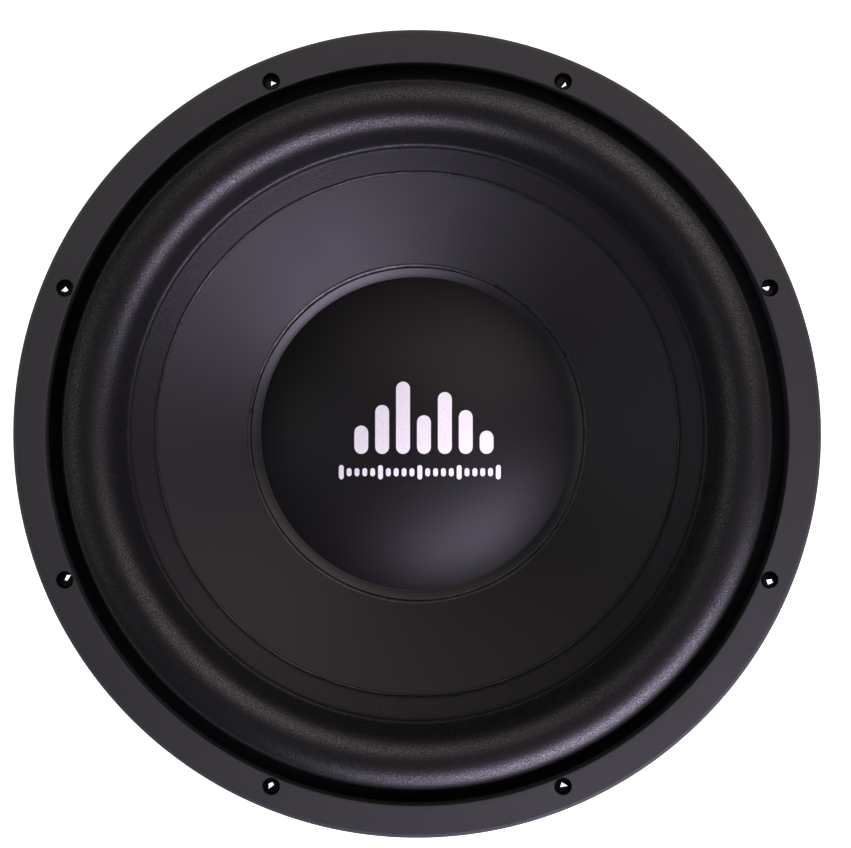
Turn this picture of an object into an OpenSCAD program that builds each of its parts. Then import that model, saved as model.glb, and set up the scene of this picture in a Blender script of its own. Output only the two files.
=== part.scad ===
// Twelve inch car subwoofer with a dual voice coil.
// The speaker's axis is Z and its front faces +Z. The origin is the centre of the flange's rear face.

/* [Flange and gasket] */
// Outer diameter of the gasket, the widest part of the speaker
gasket_d = 310; // [309:0.5:312]
// Inner diameter of the gasket
gasket_inner_d = 283; // [281:0.5:284]
// Height of the gasket's top above the flange's rear face
gasket_top = 11; // [9:0.5:13]
// Diameter of the basket's flange
flange_d = 307; // [305:0.5:308]
// Thickness of the basket's flange
flange_t = 4; // [3:0.5:4.5]
// Diameter of the circle that the mounting holes lie on
bolt_circle_d = 292.5; // [291:0.5:294]
// Number of mounting holes
bolt_count = 8; // [4:1:12]
// Diameter of the mounting holes in the basket's flange
bolt_hole_d = 5.5; // [4.5:0.1:6]
// Diameter of the mounting holes in the gasket
gasket_hole_d = 6.8; // [6.2:0.1:7.4]

/* [Cone and surround] */
// Diameter of the cone's outer edge
cone_d = 221.6; // [220:0.2:222]
// Depth of the cone from its outer edge to its neck
cone_depth = 42; // [38:1:43]
// Height of the cone's outer edge above the flange's rear face
cone_edge_z = 3; // [2:0.5:4]
// How far the flared cone's middle stands forward of a straight slope
cone_bow = 1.2; // [0:0.2:1.6]
// Thickness of the cone, measured along Z
cone_t = 1.3; // [1:0.1:1.6]
// Width of the surround's roll
roll_w = 25.4; // [24.8:0.1:25.6]
// Height of the roll's crown above the flange's rear face
roll_top = 17.2; // [16.5:0.1:18]
// Thickness of the surround's foam
foam_t = 1; // [0.8:0.1:1.2]
// Width of the surround's lip on the cone, measured flat
lip_w = 9.6; // [7:0.2:12]

/* [Dust cap] */
// Diameter of the dust cap with its flat lip
cap_d = 130; // [126:1:132]
// Diameter of the dome on the dust cap
dome_d = 122.4; // [118:0.2:123]
// Radius of the sphere that the dome is part of
dome_sphere_r = 105; // [90:1:120]
// Thickness of the dust cap
cap_t = 0.8; // [0.6:0.1:1]

/* [Voice coil] */
// Inner diameter of the voice coil former
former_d = 76; // [75.8:0.1:76.1]
// Height of the wound part of the former
winding_h = 28; // [24:1:30]

/* [Suspension] */
// Outer diameter of the two spiders
spider_d = 172; // [170:1:173]
// Distance between the two spiders
spider_gap = 7; // [6:0.5:8]
// Number of rolls in each spider
spider_rolls = 5; // [4:1:6]

/* [Basket] */
// Width of each spoke
spoke_w = 20; // [16:1:24]
// Outer diameter of the neck under the spiders
neck_d = 156; // [155:1:158]

/* [Magnet system] */
// Outer diameter of each magnet ring
magnet_d = 156; // [152:1:157]
// Inner diameter of each magnet ring
magnet_inner_d = 88; // [86:1:92]
// Thickness of each magnet ring
magnet_t = 18; // [17:0.5:20]
// Thickness of the top plate, which is the height of the magnetic gap
top_plate_t = 10; // [8:1:12]
// Diameter of the vent through the pole
vent_d = 30; // [24:1:34]
// Thickness of the rubber boot
boot_t = 3; // [2.5:0.5:4]

/* [Terminals] */
// Distance between the two push buttons of one terminal
button_pitch = 20; // [18:0.5:21]
// Diameter of the hole for a bare wire
wire_hole_d = 3; // [2.5:0.1:3.2]
// How far a push button travels
button_travel = 3; // [2:0.5:3]

/* [Hidden] */
$fn = 128;

// Small gaps
glue_gap = 0.05;
pass = 1; // how far a cutter runs past the face that it opens

// Front face, from the flange upward
gasket_r = gasket_d / 2;
gasket_inner_r = gasket_inner_d / 2;
flange_r = flange_d / 2;
gasket_bottom = flange_t + foam_t;
gasket_chamfer = 1.2;
gasket_round = 4;
arc_steps = 10;
first_bolt_angle = 180 / bolt_count;

// Cone, flared from its neck to its edge
cone_r = cone_d / 2;
neck_inner_r = former_d / 2 + 0.4;
cone_w = cone_r - neck_inner_r;
cone_slope = cone_depth / cone_w;
cone_steps = 16;
neck_collar_t = 1.3;
neck_collar_h = 4;
function cone_z(r) =
    let (t = (r - neck_inner_r) / cone_w)
    cone_edge_z - (cone_r - r) * cone_slope + 4 * cone_bow * t * (1 - t);
function cone_pitch(r) =
    let (t = (r - neck_inner_r) / cone_w)
    atan(cone_slope + 4 * cone_bow * (1 - 2 * t) / cone_w);
neck_z = cone_z(neck_inner_r);

// Surround: the roll has a round crown, a tighter shoulder outside it and a straight flank inside it
roll_inner_r = cone_r + 0.2;
roll_outer_r = roll_inner_r + roll_w;
crown_curve_r = 13.4;
shoulder_w = 9.6; // from the crown's top to the roll's outer wall
crown_centre = [roll_outer_r - shoulder_w, roll_top - crown_curve_r];
shoulder_tilt = 35;
flank_tilt = 56;
shoulder_curve_r = (shoulder_w - crown_curve_r * sin(shoulder_tilt)) / (1 - sin(shoulder_tilt));
shoulder_centre = crown_centre
    + (crown_curve_r - shoulder_curve_r) * [sin(shoulder_tilt), cos(shoulder_tilt)];
flank_top = crown_centre + crown_curve_r * [-sin(flank_tilt), cos(flank_tilt)];
flank_foot = flank_top - (flank_top[0] - roll_inner_r) * [1, tan(flank_tilt)];
land_outer_r = flange_r - 1;
crown_steps = 20;
shoulder_steps = 8;

// Dust cap and its bead of glue
cap_r = cap_d / 2;
dome_r = dome_d / 2;
cap_base_z = cone_z(dome_r) + glue_gap;
dome_centre_z = cap_base_z + cap_t - sqrt(pow(dome_sphere_r, 2) - pow(dome_r, 2));
dome_steps = 24;
bead_r = 0.9;
neck_glue_w = 3;

// Former and windings
former_r = former_d / 2;
former_t = 0.3;
former_top = neck_z + 3;
gap_z = -87; // middle of the magnetic gap
winding_top = gap_z + winding_h / 2;
winding_bottom = gap_z - winding_h / 2;
former_tail = 3;
winding_t = 0.78;
winding_gap = 0.02;
collar_t = 0.4;
collar_top = neck_z - neck_collar_h - 0.5;
collar_bottom = winding_top + 0.5;

// Spiders, from the landing upward
spider_t = 0.6;
spider_roll_h = 1.5;
spider_r = spider_d / 2;
spider_land_w = 7;
spider_inner_r = former_r + former_t + collar_t + 0.1;
spider_cuff_w = 3;
lower_spider_z = -54;
upper_spider_z = lower_spider_z + spider_gap;
landing_z = lower_spider_z - spider_t / 2;
landing_t = 3.7;
landing_inner_r = spider_r - spider_land_w + 0.3;
landing_outer_r = spider_r + 6;
steps_per_roll = 10;

// Basket
spoke_count = 6; // one spoke every 60 degrees leaves room for a terminal at each side
skirt_top_r = 138;
skirt_bottom_r = 135;
skirt_t = 4;
skirt_h = 18;
neck_r = neck_d / 2;
neck_wall = 4;
top_plate_z = gap_z + top_plate_t / 2;
mount_plate_t = 4;
mount_plate_z = top_plate_z + mount_plate_t;
mount_plate_inner_r = former_r + 6;
cooling_hole_count = 12;
cooling_hole_r = 5.5;
cooling_hole_z = (mount_plate_z + landing_z - landing_t) / 2;
spoke_plate_t = 5;
spoke_rib_h = 6;
spoke_rib_w = 6;
spoke_top = [skirt_bottom_r - skirt_t + 0.5, 5 - skirt_h];
spoke_foot = [landing_outer_r - 2.5, landing_z + 4];
spoke_max_r = skirt_top_r - 0.5; // everything behind the flange goes through the cut-out in a baffle

// Magnet system, from the gap downward
magnet_r = magnet_d / 2;
magnet_inner_r = magnet_inner_d / 2;
plate_r = magnet_r - 3;
gap_outer_r = former_r + 2.4;
pole_r = former_r - 0.6;
pole_top = top_plate_z + 2;
front_magnet_z = gap_z - top_plate_t / 2;
rear_magnet_z = front_magnet_z - magnet_t;
yoke_z = rear_magnet_z - magnet_t;
back_plate_t = 10;
yoke_bottom = yoke_z - back_plate_t;
vent_r = vent_d / 2;
vent_flare = 4;
boot_bottom = yoke_bottom - boot_t;
boot_top = front_magnet_z - 2;
boot_gap = 0.1;
boot_chamfer = 1;
boot_hole_r = vent_r + 9;
screen_t = 0.6;
screen_r = vent_r + 7.5;
screen_hole_r = 1.5;
screen_hole_pitch = 4.2;
screen_rows = 4;

// Screws that hold the basket to the top plate
plate_screw_count = 6;
plate_screw_circle_r = 60;
plate_screw_r = 2.45;
plate_screw_hole_r = 2.5;
plate_screw_clearance_r = 2.75;
plate_screw_depth = 8;
plate_screw_head_r = 4.6;
plate_screw_head_h = 2.8;
hex_socket_r = 2;
hex_socket_depth = 1.6;

// Terminals: x is across, y is outward from the speaker's axis
bracket_w = 46;
bracket_y = landing_outer_r + 1;
bracket_t = 3;
bracket_top = -34;
terminal_w = 44;
terminal_h = 20;
terminal_z = -44;
terminal_back_y = bracket_y + bracket_t;
terminal_back_t = 2;
button_places = [-button_pitch / 2, button_pitch / 2];
terminal_body_y = terminal_back_y + terminal_back_t;
terminal_body_t = 16;
terminal_front_y = terminal_body_y + terminal_body_t;
barrel_r = 5.6;
barrel_h = 4;
barrel_end_y = terminal_front_y + barrel_h;
chamber_r = 4.9;
chamber_h = 9.3;
shoulder_y = terminal_body_y + chamber_h;
shank_bore_r = 4.2;
shank_r = 3.9;
button_flange_r = 4.6;
button_flange_t = 1.1;
button_cap_r = 5.3;
button_cap_t = 3.7;
button_clearance = 0.3;
wire_y = terminal_body_y + 12;
shank_hole_r = wire_hole_d / 2 + 0.4;
terminal_screw_places = [-18.5, 18.5];
terminal_screw_r = 1.45;
terminal_screw_hole_r = 1.5;
terminal_screw_clearance_r = 1.7;
terminal_screw_depth = 8;
terminal_screw_head_r = 2.6;
terminal_screw_head_h = 2;
contact_t = 0.6;
contact_r = 4.5;
contact_tab_w = 5;
contact_tab_y = landing_outer_r - 3;
contact_slot_gap = 0.2;
spring_wire_r = 0.35;
spring_r = 3.3;
spring_turns = 4;
spring_sides = 6;
spring_rings_per_turn = 12;

// Leads, from a contact tab over the spider to an eyelet on the back of the cone
eyelet_circle_r = 59;
eyelet_angle = 12;
eyelet_r = 2.8;
eyelet_t = 0.8;
eyelet_post_r = 1.1;
eyelet_post_h = 2;
coil_lead_r = 0.4;
lead_r = 1.2;
lead_sides = 8;
lead_route = [
    [10, 91.5, -42], [10, 89, -41.9], [10.2, 86.5, -41.2], [11, 84, -39.6], [12.8, 81.5, -37.2],
    [15.4, 79, -34.8], [18.4, 76.2, -32.9], [21, 73, -31.7], [22.8, 69.6, -31.2], [23.4, 66, -31.3],
    [22.6, 63.2, -31.3], [20.4, 61.2, -31.2], [17.6, 60, -31], [14.8, 59.6, -30.9], [12, 59.8, -30.9]
];

function unit(v) = v / norm(v);
function route_direction(route, i) =
    unit(route[min(i + 1, len(route) - 1)] - route[max(i - 1, 0)]);

// Rings of points of a round tube, one ring for each point of its route
function tube_points(route, radius, sides, up) = [
    for (i = [0 : len(route) - 1])
        let (ahead = route_direction(route, i), side = unit(cross(ahead, up)), rise = cross(side, ahead))
        for (k = [0 : sides - 1])
            let (a = 360 * k / sides)
            route[i] + radius * (cos(a) * side + sin(a) * rise)
];

function tube_faces(rings, sides) = concat(
    [[for (k = [sides - 1 : -1 : 0]) k]],
    [[for (k = [0 : sides - 1]) (rings - 1) * sides + k]],
    [for (i = [0 : rings - 2], k = [0 : sides - 1])
        [i * sides + k, i * sides + (k + 1) % sides, (i + 1) * sides + (k + 1) % sides]],
    [for (i = [0 : rings - 2], k = [0 : sides - 1])
        [i * sides + k, (i + 1) * sides + (k + 1) % sides, (i + 1) * sides + k]]
);

module tube(route, radius, sides, up) {
    polyhedron(tube_points(route, radius, sides, up), tube_faces(len(route), sides));
}

// Points of an arc, from one angle to another
function arc(centre, radius, from, to, steps) = [
    for (i = [0 : steps])
        let (a = from + (to - from) * i / steps)
        centre + radius * [cos(a), sin(a)]
];

module ring(inner_r, outer_r, low, high) {
    translate([0, 0, low])
        rotate_extrude()
            translate([inner_r, 0])
                square([outer_r - inner_r, high - low]);
}

module around(count, first = 0) {
    for (i = [0 : count - 1])
        rotate([0, 0, first + 360 * i / count])
            children();
}

// Turns a terminal's own place, outward along +Y, to terminal a or terminal b
module at_terminal(side) {
    rotate([0, 0, side == "a" ? 0 : 180])
        children();
}

// A cylinder along +Y
module along_y(x, z, from, to, radius) {
    translate([x, from, z])
        rotate([-90, 0, 0])
            cylinder(r = radius, h = to - from);
}

/* Basket */

// A spoke's side view: its inner edge runs from the skirt to the landing ring
module spoke_profile(depth) {
    along = unit(spoke_top - spoke_foot);
    outward = depth * [along[1], -along[0]];
    low = landing_z - landing_t;
    foot_r = spoke_foot[0] + outward[0];
    polygon([
        spoke_top, spoke_foot, [spoke_foot[0], low], [foot_r, low],
        [foot_r, max(low, spoke_foot[1] + outward[1])],
        [min(spoke_max_r, spoke_top[0] + outward[0]), spoke_top[1] + outward[1]],
        [skirt_top_r - 1, -skirt_h / 3]
    ]);
}

module spoke() {
    rotate([90, 0, 0]) {
        linear_extrude(spoke_w, center = true)
            spoke_profile(spoke_plate_t);
        linear_extrude(spoke_rib_w, center = true)
            spoke_profile(spoke_plate_t + spoke_rib_h);
    }
}

// Keeps what lies between two heights
module between(low, high) {
    intersection() {
        children();
        translate([0, 0, low])
            cylinder(r = 2 * gasket_r, h = high - low);
    }
}

module basket_skirt() {
    rotate_extrude()
        polygon([
            [skirt_top_r - skirt_t, 0], [skirt_top_r - skirt_t, flange_t],
            [flange_r, flange_t], [flange_r, 0], [skirt_top_r, 0],
            [skirt_bottom_r, -skirt_h], [skirt_bottom_r - skirt_t, -skirt_h]
        ]);
}

// The basket is one casting, drawn as a rim, six spokes, a neck and two brackets that meet face to face.
module basket_rim() {
    color([0.12, 0.12, 0.13])
        difference() {
            union() {
                basket_skirt();
                between(-skirt_h, 0)
                    around(spoke_count)
                        spoke();
            }
            around(bolt_count, first_bolt_angle)
                translate([bolt_circle_d / 2, 0, -pass])
                    cylinder(d = bolt_hole_d, h = flange_t + 2 * pass);
        }
}

module basket_spokes() {
    color([0.12, 0.12, 0.13])
        between(landing_z, -skirt_h)
            around(spoke_count)
                spoke();
}

// Ring that the spiders are glued on, vented neck, and the plate that is screwed to the magnet's top plate
module basket_neck() {
    landing_bottom = landing_z - landing_t;
    color([0.12, 0.12, 0.13])
        difference() {
            union() {
                rotate_extrude()
                    polygon([
                        [mount_plate_inner_r, top_plate_z], [neck_r, top_plate_z],
                        [neck_r, landing_bottom - 4],
                        [landing_outer_r - 4, landing_bottom], [landing_outer_r, landing_bottom],
                        [landing_outer_r, landing_z], [landing_inner_r, landing_z],
                        [landing_inner_r, landing_bottom + 1], [neck_r - neck_wall, landing_bottom - 2],
                        [neck_r - neck_wall, mount_plate_z], [mount_plate_inner_r, mount_plate_z]
                    ]);
                between(landing_bottom, landing_z)
                    around(spoke_count)
                        spoke();
            }
            around(cooling_hole_count, 180 / cooling_hole_count)
                along_y(0, cooling_hole_z, neck_r - neck_wall - 2, neck_r + 4, cooling_hole_r);
            around(plate_screw_count)
                translate([plate_screw_circle_r, 0, top_plate_z - pass])
                    cylinder(r = plate_screw_clearance_r, h = mount_plate_t + 2 * pass);
        }
}

module terminal_bracket() {
    landing_bottom = landing_z - landing_t;
    difference() {
        union() {
            translate([-bracket_w / 2, landing_outer_r - 5, landing_bottom])
                cube([bracket_w, terminal_back_y - landing_outer_r + 5, landing_t]);
            translate([-bracket_w / 2, bracket_y, landing_bottom])
                cube([bracket_w, bracket_t, bracket_top - landing_bottom]);
        }
        translate([0, 0, landing_bottom - pass])
            cylinder(r = landing_outer_r, h = landing_t + 2 * pass);
        terminal_cuts(bracket_y - pass, terminal_back_y + pass, terminal_screw_clearance_r);
    }
}

module basket_brackets() {
    color([0.12, 0.12, 0.13])
        for (side = ["a", "b"])
            at_terminal(side)
                terminal_bracket();
}

/* Front */

module gasket_ring() {
    round_centre = [gasket_inner_r + gasket_round, gasket_top - gasket_round];
    color([0.2, 0.2, 0.21])
        difference() {
            rotate_extrude()
                polygon(concat(
                    [[gasket_inner_r, gasket_bottom], [gasket_r, gasket_bottom]],
                    [[gasket_r, gasket_top - gasket_chamfer], [gasket_r - gasket_chamfer, gasket_top]],
                    arc(round_centre, gasket_round, 90, 180, arc_steps)
                ));
            around(bolt_count, first_bolt_angle)
                translate([bolt_circle_d / 2, 0, gasket_bottom - pass])
                    cylinder(d = gasket_hole_d, h = gasket_top - gasket_bottom + 2 * pass);
        }
}

// Points of the roll's face, from its outer wall over the crown to its foot, at a depth under the face
function roll_face(depth) = concat(
    arc(shoulder_centre, shoulder_curve_r - depth, 0, 90 - shoulder_tilt, shoulder_steps),
    arc(crown_centre, crown_curve_r - depth, 90 - shoulder_tilt + 1, 90 + flank_tilt, crown_steps),
    [flank_foot + depth * [sin(flank_tilt), -cos(flank_tilt)]]
);

function reverse(points) = [for (i = [len(points) - 1 : -1 : 0]) points[i]];

// A point at a height above the cone's front face
function on_cone(r, height) = [r, cone_z(r) + height];

// Foam roll, with its outer land under the gasket and its inner lip on the cone
module surround() {
    lip_end_r = cone_r - lip_w;
    lip_top = glue_gap + foam_t;
    color([0.1, 0.1, 0.11])
        difference() {
            rotate_extrude()
                polygon(concat(
                    [[land_outer_r, flange_t], [land_outer_r, gasket_bottom], [roll_outer_r, gasket_bottom]],
                    roll_face(0),
                    [on_cone(cone_r - 1, lip_top), on_cone(lip_end_r, lip_top)],
                    [on_cone(lip_end_r, glue_gap), on_cone(cone_r, glue_gap)],
                    reverse(roll_face(foam_t)),
                    [[roll_outer_r - foam_t, flange_t]]
                ));
            around(bolt_count, first_bolt_angle)
                translate([bolt_circle_d / 2, 0, 0])
                    cylinder(d = gasket_hole_d, h = gasket_top);
        }
}

module cone() {
    outer_neck_r = neck_inner_r + neck_collar_t;
    back = [for (i = [0 : cone_steps]) outer_neck_r + (cone_r - outer_neck_r) * i / cone_steps];
    front = [for (i = [cone_steps : -1 : 0]) neck_inner_r + cone_w * i / cone_steps];
    color([0.13, 0.13, 0.14])
        rotate_extrude()
            polygon(concat(
                [[neck_inner_r, neck_z - neck_collar_h], [outer_neck_r, neck_z - neck_collar_h]],
                [for (r = back) on_cone(r, -cone_t)],
                [for (r = front) on_cone(r, 0)]
            ));
}

module dust_cap() {
    edge_angle = acos(dome_r / dome_sphere_r);
    inner_sphere_r = dome_sphere_r - cap_t;
    inner_angle = asin((cap_base_z - dome_centre_z) / inner_sphere_r);
    lip_top = cone_z(cap_r) + glue_gap + cap_t;
    color([0.12, 0.12, 0.13])
        rotate_extrude()
            polygon(concat(
                arc([0, dome_centre_z], dome_sphere_r, 90, edge_angle, dome_steps),
                [[cap_r, lip_top], [cap_r, lip_top - cap_t], [dome_r, cap_base_z]],
                arc([0, dome_centre_z], inner_sphere_r, inner_angle, 90, dome_steps)
            ));
}

module dust_cap_glue() {
    inner = cap_r + glue_gap;
    color([0.03, 0.03, 0.03])
        rotate_extrude()
            polygon([
                on_cone(inner, glue_gap), on_cone(cap_r + 2 * bead_r, glue_gap),
                on_cone(cap_r + 1.7 * bead_r, 1.2 * bead_r), on_cone(cap_r + bead_r, 1.6 * bead_r),
                on_cone(inner, 1.3 * bead_r)
            ]);
}

module cone_neck_glue() {
    foot_r = former_r + former_t + glue_gap;
    low = cone_z(neck_inner_r) + glue_gap;
    color([0.6, 0.5, 0.3])
        rotate_extrude()
            polygon([
                [foot_r, low], [neck_inner_r, low], on_cone(neck_inner_r + neck_glue_w, glue_gap),
                [foot_r + 0.6, low + neck_glue_w], [foot_r, low + neck_glue_w - 0.4]
            ]);
}

/* Voice coil */

module voice_coil_former() {
    color([0.75, 0.75, 0.78])
        ring(former_r, former_r + former_t, winding_bottom - former_tail, former_top);
}

module former_collar() {
    color([0.7, 0.45, 0.15])
        ring(former_r + former_t, former_r + former_t + collar_t, collar_bottom, collar_top);
}

module voice_coil_inner() {
    inner = former_r + former_t + winding_gap;
    color([0.72, 0.38, 0.2])
        ring(inner, inner + winding_t, winding_bottom, winding_top);
}

module voice_coil_outer() {
    inner = former_r + former_t + 2 * winding_gap + winding_t;
    color([0.6, 0.3, 0.15])
        ring(inner, inner + winding_t, winding_bottom, winding_top);
}

// Four places on the back of the cone, two beside each terminal
module at_eyelets() {
    for (side = [0, 180], sign = [-1, 1])
        rotate([0, 0, 90 + side + sign * eyelet_angle])
            children();
}

// Moves to the back of the cone at one radius, with +Z pointing out of that face
module on_cone_back(r) {
    translate([r, 0, cone_z(r) - cone_t])
        rotate([0, 180 - cone_pitch(r), 0])
            children();
}

module lead_eyelets() {
    color([0.8, 0.65, 0.3])
        at_eyelets()
            on_cone_back(eyelet_circle_r)
                translate([0, 0, glue_gap]) {
                    cylinder(r = eyelet_r, h = eyelet_t);
                    cylinder(r = eyelet_post_r, h = eyelet_t + eyelet_post_h);
                }
}

module coil_leads() {
    start_r = neck_inner_r + neck_collar_t + 2.5;
    end_r = eyelet_circle_r - eyelet_r - 0.2;
    middle_r = (start_r + end_r) / 2;
    length = (end_r - start_r) / cos(cone_pitch(middle_r));
    color([0.72, 0.38, 0.2])
        at_eyelets()
            on_cone_back(middle_r)
                translate([0, 0, coil_lead_r + 2 * glue_gap])
                    rotate([0, 90, 0])
                        cylinder(r = coil_lead_r, h = length, center = true);
}

/* Suspension */

function spider_wave(r, inner, outer) =
    spider_roll_h * sin(360 * spider_rolls * (r - inner) / (outer - inner));

module spider(z) {
    inner = spider_inner_r + spider_cuff_w;
    outer = spider_r - spider_land_w;
    steps = spider_rolls * steps_per_roll;
    wave = [
        for (i = [0 : steps])
            let (r = inner + (outer - inner) * i / steps)
            [r, spider_wave(r, inner, outer)]
    ];
    lift = [0, spider_t / 2];
    color([0.75, 0.6, 0.25])
        translate([0, 0, z])
            rotate_extrude()
                polygon(concat(
                    [[spider_inner_r, -spider_t / 2]], [for (p = wave) p - lift],
                    [[spider_r, -spider_t / 2]], [[spider_r, spider_t / 2]],
                    [for (i = [steps : -1 : 0]) wave[i] + lift],
                    [[spider_inner_r, spider_t / 2]]
                ));
}

module spider_upper() {
    spider(upper_spider_z);
}

module spider_lower() {
    spider(lower_spider_z);
}

module spider_spacer_ring() {
    color([0.3, 0.25, 0.2])
        ring(spider_r - spider_land_w + 0.5, spider_r,
            lower_spider_z + spider_t / 2, upper_spider_z - spider_t / 2);
}

/* Magnet system */

module top_plate() {
    color([0.6, 0.6, 0.62])
        difference() {
            ring(gap_outer_r, plate_r, front_magnet_z, top_plate_z);
            around(plate_screw_count)
                translate([plate_screw_circle_r, 0, top_plate_z - plate_screw_depth])
                    cylinder(r = plate_screw_hole_r, h = plate_screw_depth + pass);
        }
}

module top_plate_screws() {
    color([0.35, 0.35, 0.36])
        around(plate_screw_count)
            translate([plate_screw_circle_r, 0, mount_plate_z])
                difference() {
                    union() {
                        translate([0, 0, 0.5 - plate_screw_depth - mount_plate_t])
                            cylinder(r = plate_screw_r, h = plate_screw_depth + mount_plate_t);
                        cylinder(r = plate_screw_head_r, h = plate_screw_head_h);
                    }
                    translate([0, 0, plate_screw_head_h - hex_socket_depth])
                        cylinder(r = hex_socket_r, h = hex_socket_depth + pass, $fn = 6);
                }
}

module magnet_front() {
    color([0.18, 0.18, 0.19])
        ring(magnet_inner_r, magnet_r, rear_magnet_z, front_magnet_z);
}

module magnet_rear() {
    color([0.18, 0.18, 0.19])
        ring(magnet_inner_r, magnet_r, yoke_z, rear_magnet_z);
}

// Back plate and pole in one piece, with a vent that widens at both ends
module t_yoke() {
    color([0.55, 0.55, 0.57])
        rotate_extrude()
            polygon([
                [vent_r, pole_top - vent_flare], [vent_r + vent_flare, pole_top], [pole_r, pole_top],
                [pole_r, yoke_z], [plate_r, yoke_z], [plate_r, yoke_bottom],
                [vent_r + vent_flare, yoke_bottom], [vent_r, yoke_bottom + vent_flare]
            ]);
}

module magnet_boot() {
    inner = magnet_r + boot_gap;
    outer = inner + boot_t;
    color([0.09, 0.09, 0.09])
        rotate_extrude()
            polygon([
                [boot_hole_r, boot_bottom], [outer - boot_chamfer, boot_bottom],
                [outer, boot_bottom + boot_chamfer], [outer, boot_top], [inner, boot_top],
                [inner, yoke_bottom], [boot_hole_r, yoke_bottom]
            ]);
}

module vent_screen() {
    color([0.3, 0.3, 0.31])
        translate([0, 0, yoke_bottom - screen_t])
            difference() {
                cylinder(r = screen_r, h = screen_t);
                translate([0, 0, -pass]) {
                    cylinder(r = screen_hole_r, h = screen_t + 2 * pass);
                    for (row = [1 : screen_rows])
                        around(6 * row)
                            translate([row * screen_hole_pitch, 0, 0])
                                cylinder(r = screen_hole_r, h = screen_t + 2 * pass);
                }
            }
}

/* Terminals */

// Slots for the two contact tabs and holes for the two screws, cut along +Y
module terminal_cuts(from, to, hole_r) {
    slot_w = contact_tab_w + 2 * contact_slot_gap;
    slot_h = contact_t + 2 * contact_slot_gap;
    for (x = button_places)
        translate([x - slot_w / 2, from, terminal_z - slot_h / 2])
            cube([slot_w, to - from, slot_h]);
    for (x = terminal_screw_places)
        along_y(x, terminal_z, from, to, hole_r);
}

module terminal_body(side) {
    color([0.08, 0.08, 0.09])
        at_terminal(side)
            difference() {
                union() {
                    translate([-terminal_w / 2, terminal_body_y, terminal_z - terminal_h / 2])
                        cube([terminal_w, terminal_body_t, terminal_h]);
                    for (x = button_places)
                        along_y(x, terminal_z, terminal_front_y - pass, barrel_end_y, barrel_r);
                }
                for (x = button_places) {
                    along_y(x, terminal_z, terminal_body_y - pass, shoulder_y, chamber_r);
                    along_y(x, terminal_z, shoulder_y - pass, barrel_end_y + pass, shank_bore_r);
                    translate([x, wire_y, terminal_z - terminal_h / 2 - pass])
                        cylinder(d = wire_hole_d, h = terminal_h / 2 + pass);
                }
                for (x = terminal_screw_places)
                    along_y(x, terminal_z, terminal_body_y - pass,
                        terminal_body_y + terminal_screw_depth, terminal_screw_hole_r);
            }
}

module terminal_back(side) {
    color([0.1, 0.1, 0.1])
        at_terminal(side)
            difference() {
                translate([-terminal_w / 2, terminal_back_y, terminal_z - terminal_h / 2])
                    cube([terminal_w, terminal_back_t, terminal_h]);
                terminal_cuts(terminal_back_y - pass, terminal_body_y + pass, terminal_screw_clearance_r);
            }
}

module terminal_contacts(side) {
    color([0.85, 0.7, 0.35])
        at_terminal(side)
            for (x = button_places) {
                along_y(x, terminal_z, terminal_body_y, terminal_body_y + contact_t, contact_r);
                translate([x - contact_tab_w / 2, contact_tab_y, terminal_z - contact_t / 2])
                    cube([contact_tab_w, terminal_body_y - contact_tab_y + contact_t / 2, contact_t]);
            }
}

module terminal_screws() {
    tip_y = terminal_body_y + terminal_screw_depth - 0.5;
    color([0.7, 0.7, 0.72])
        for (side = ["a", "b"], x = terminal_screw_places)
            at_terminal(side) {
                along_y(x, terminal_z, bracket_y, tip_y, terminal_screw_r);
                along_y(x, terminal_z, bracket_y - terminal_screw_head_h, bracket_y, terminal_screw_head_r);
            }
}

module push_button(side, sign) {
    x = sign * button_pitch / 2;
    flange_front_y = shoulder_y - button_clearance;
    cap_y = barrel_end_y + button_travel + button_clearance;
    at_terminal(side)
        difference() {
            union() {
                along_y(x, terminal_z, flange_front_y - button_flange_t, flange_front_y, button_flange_r);
                along_y(x, terminal_z, flange_front_y, cap_y, shank_r);
                along_y(x, terminal_z, cap_y, cap_y + button_cap_t, button_cap_r);
            }
            translate([x, wire_y + button_travel, terminal_z - shank_r - pass])
                cylinder(r = shank_hole_r, h = 2 * (shank_r + pass));
        }
}

module button_spring(side, sign) {
    from = terminal_body_y + contact_t + spring_wire_r;
    to = shoulder_y - button_clearance - button_flange_t - spring_wire_r;
    rings = spring_turns * spring_rings_per_turn;
    start = [sign * button_pitch / 2, from, terminal_z];
    coil = [
        for (i = [0 : rings])
            let (a = 360 * i / spring_rings_per_turn)
            start + [spring_r * cos(a), (to - from) * i / rings, spring_r * sin(a)]
    ];
    color([0.75, 0.75, 0.77])
        at_terminal(side)
            tube(coil, spring_wire_r, spring_sides, [0, 1, 0]);
}

module tinsel_lead(side, sign) {
    route = [for (p = lead_route) [sign * p[0], p[1], p[2]]];
    color([0.5, 0.35, 0.25])
        at_terminal(side)
            tube(route, lead_r, lead_sides, [0, 0, 1]);
}

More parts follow.
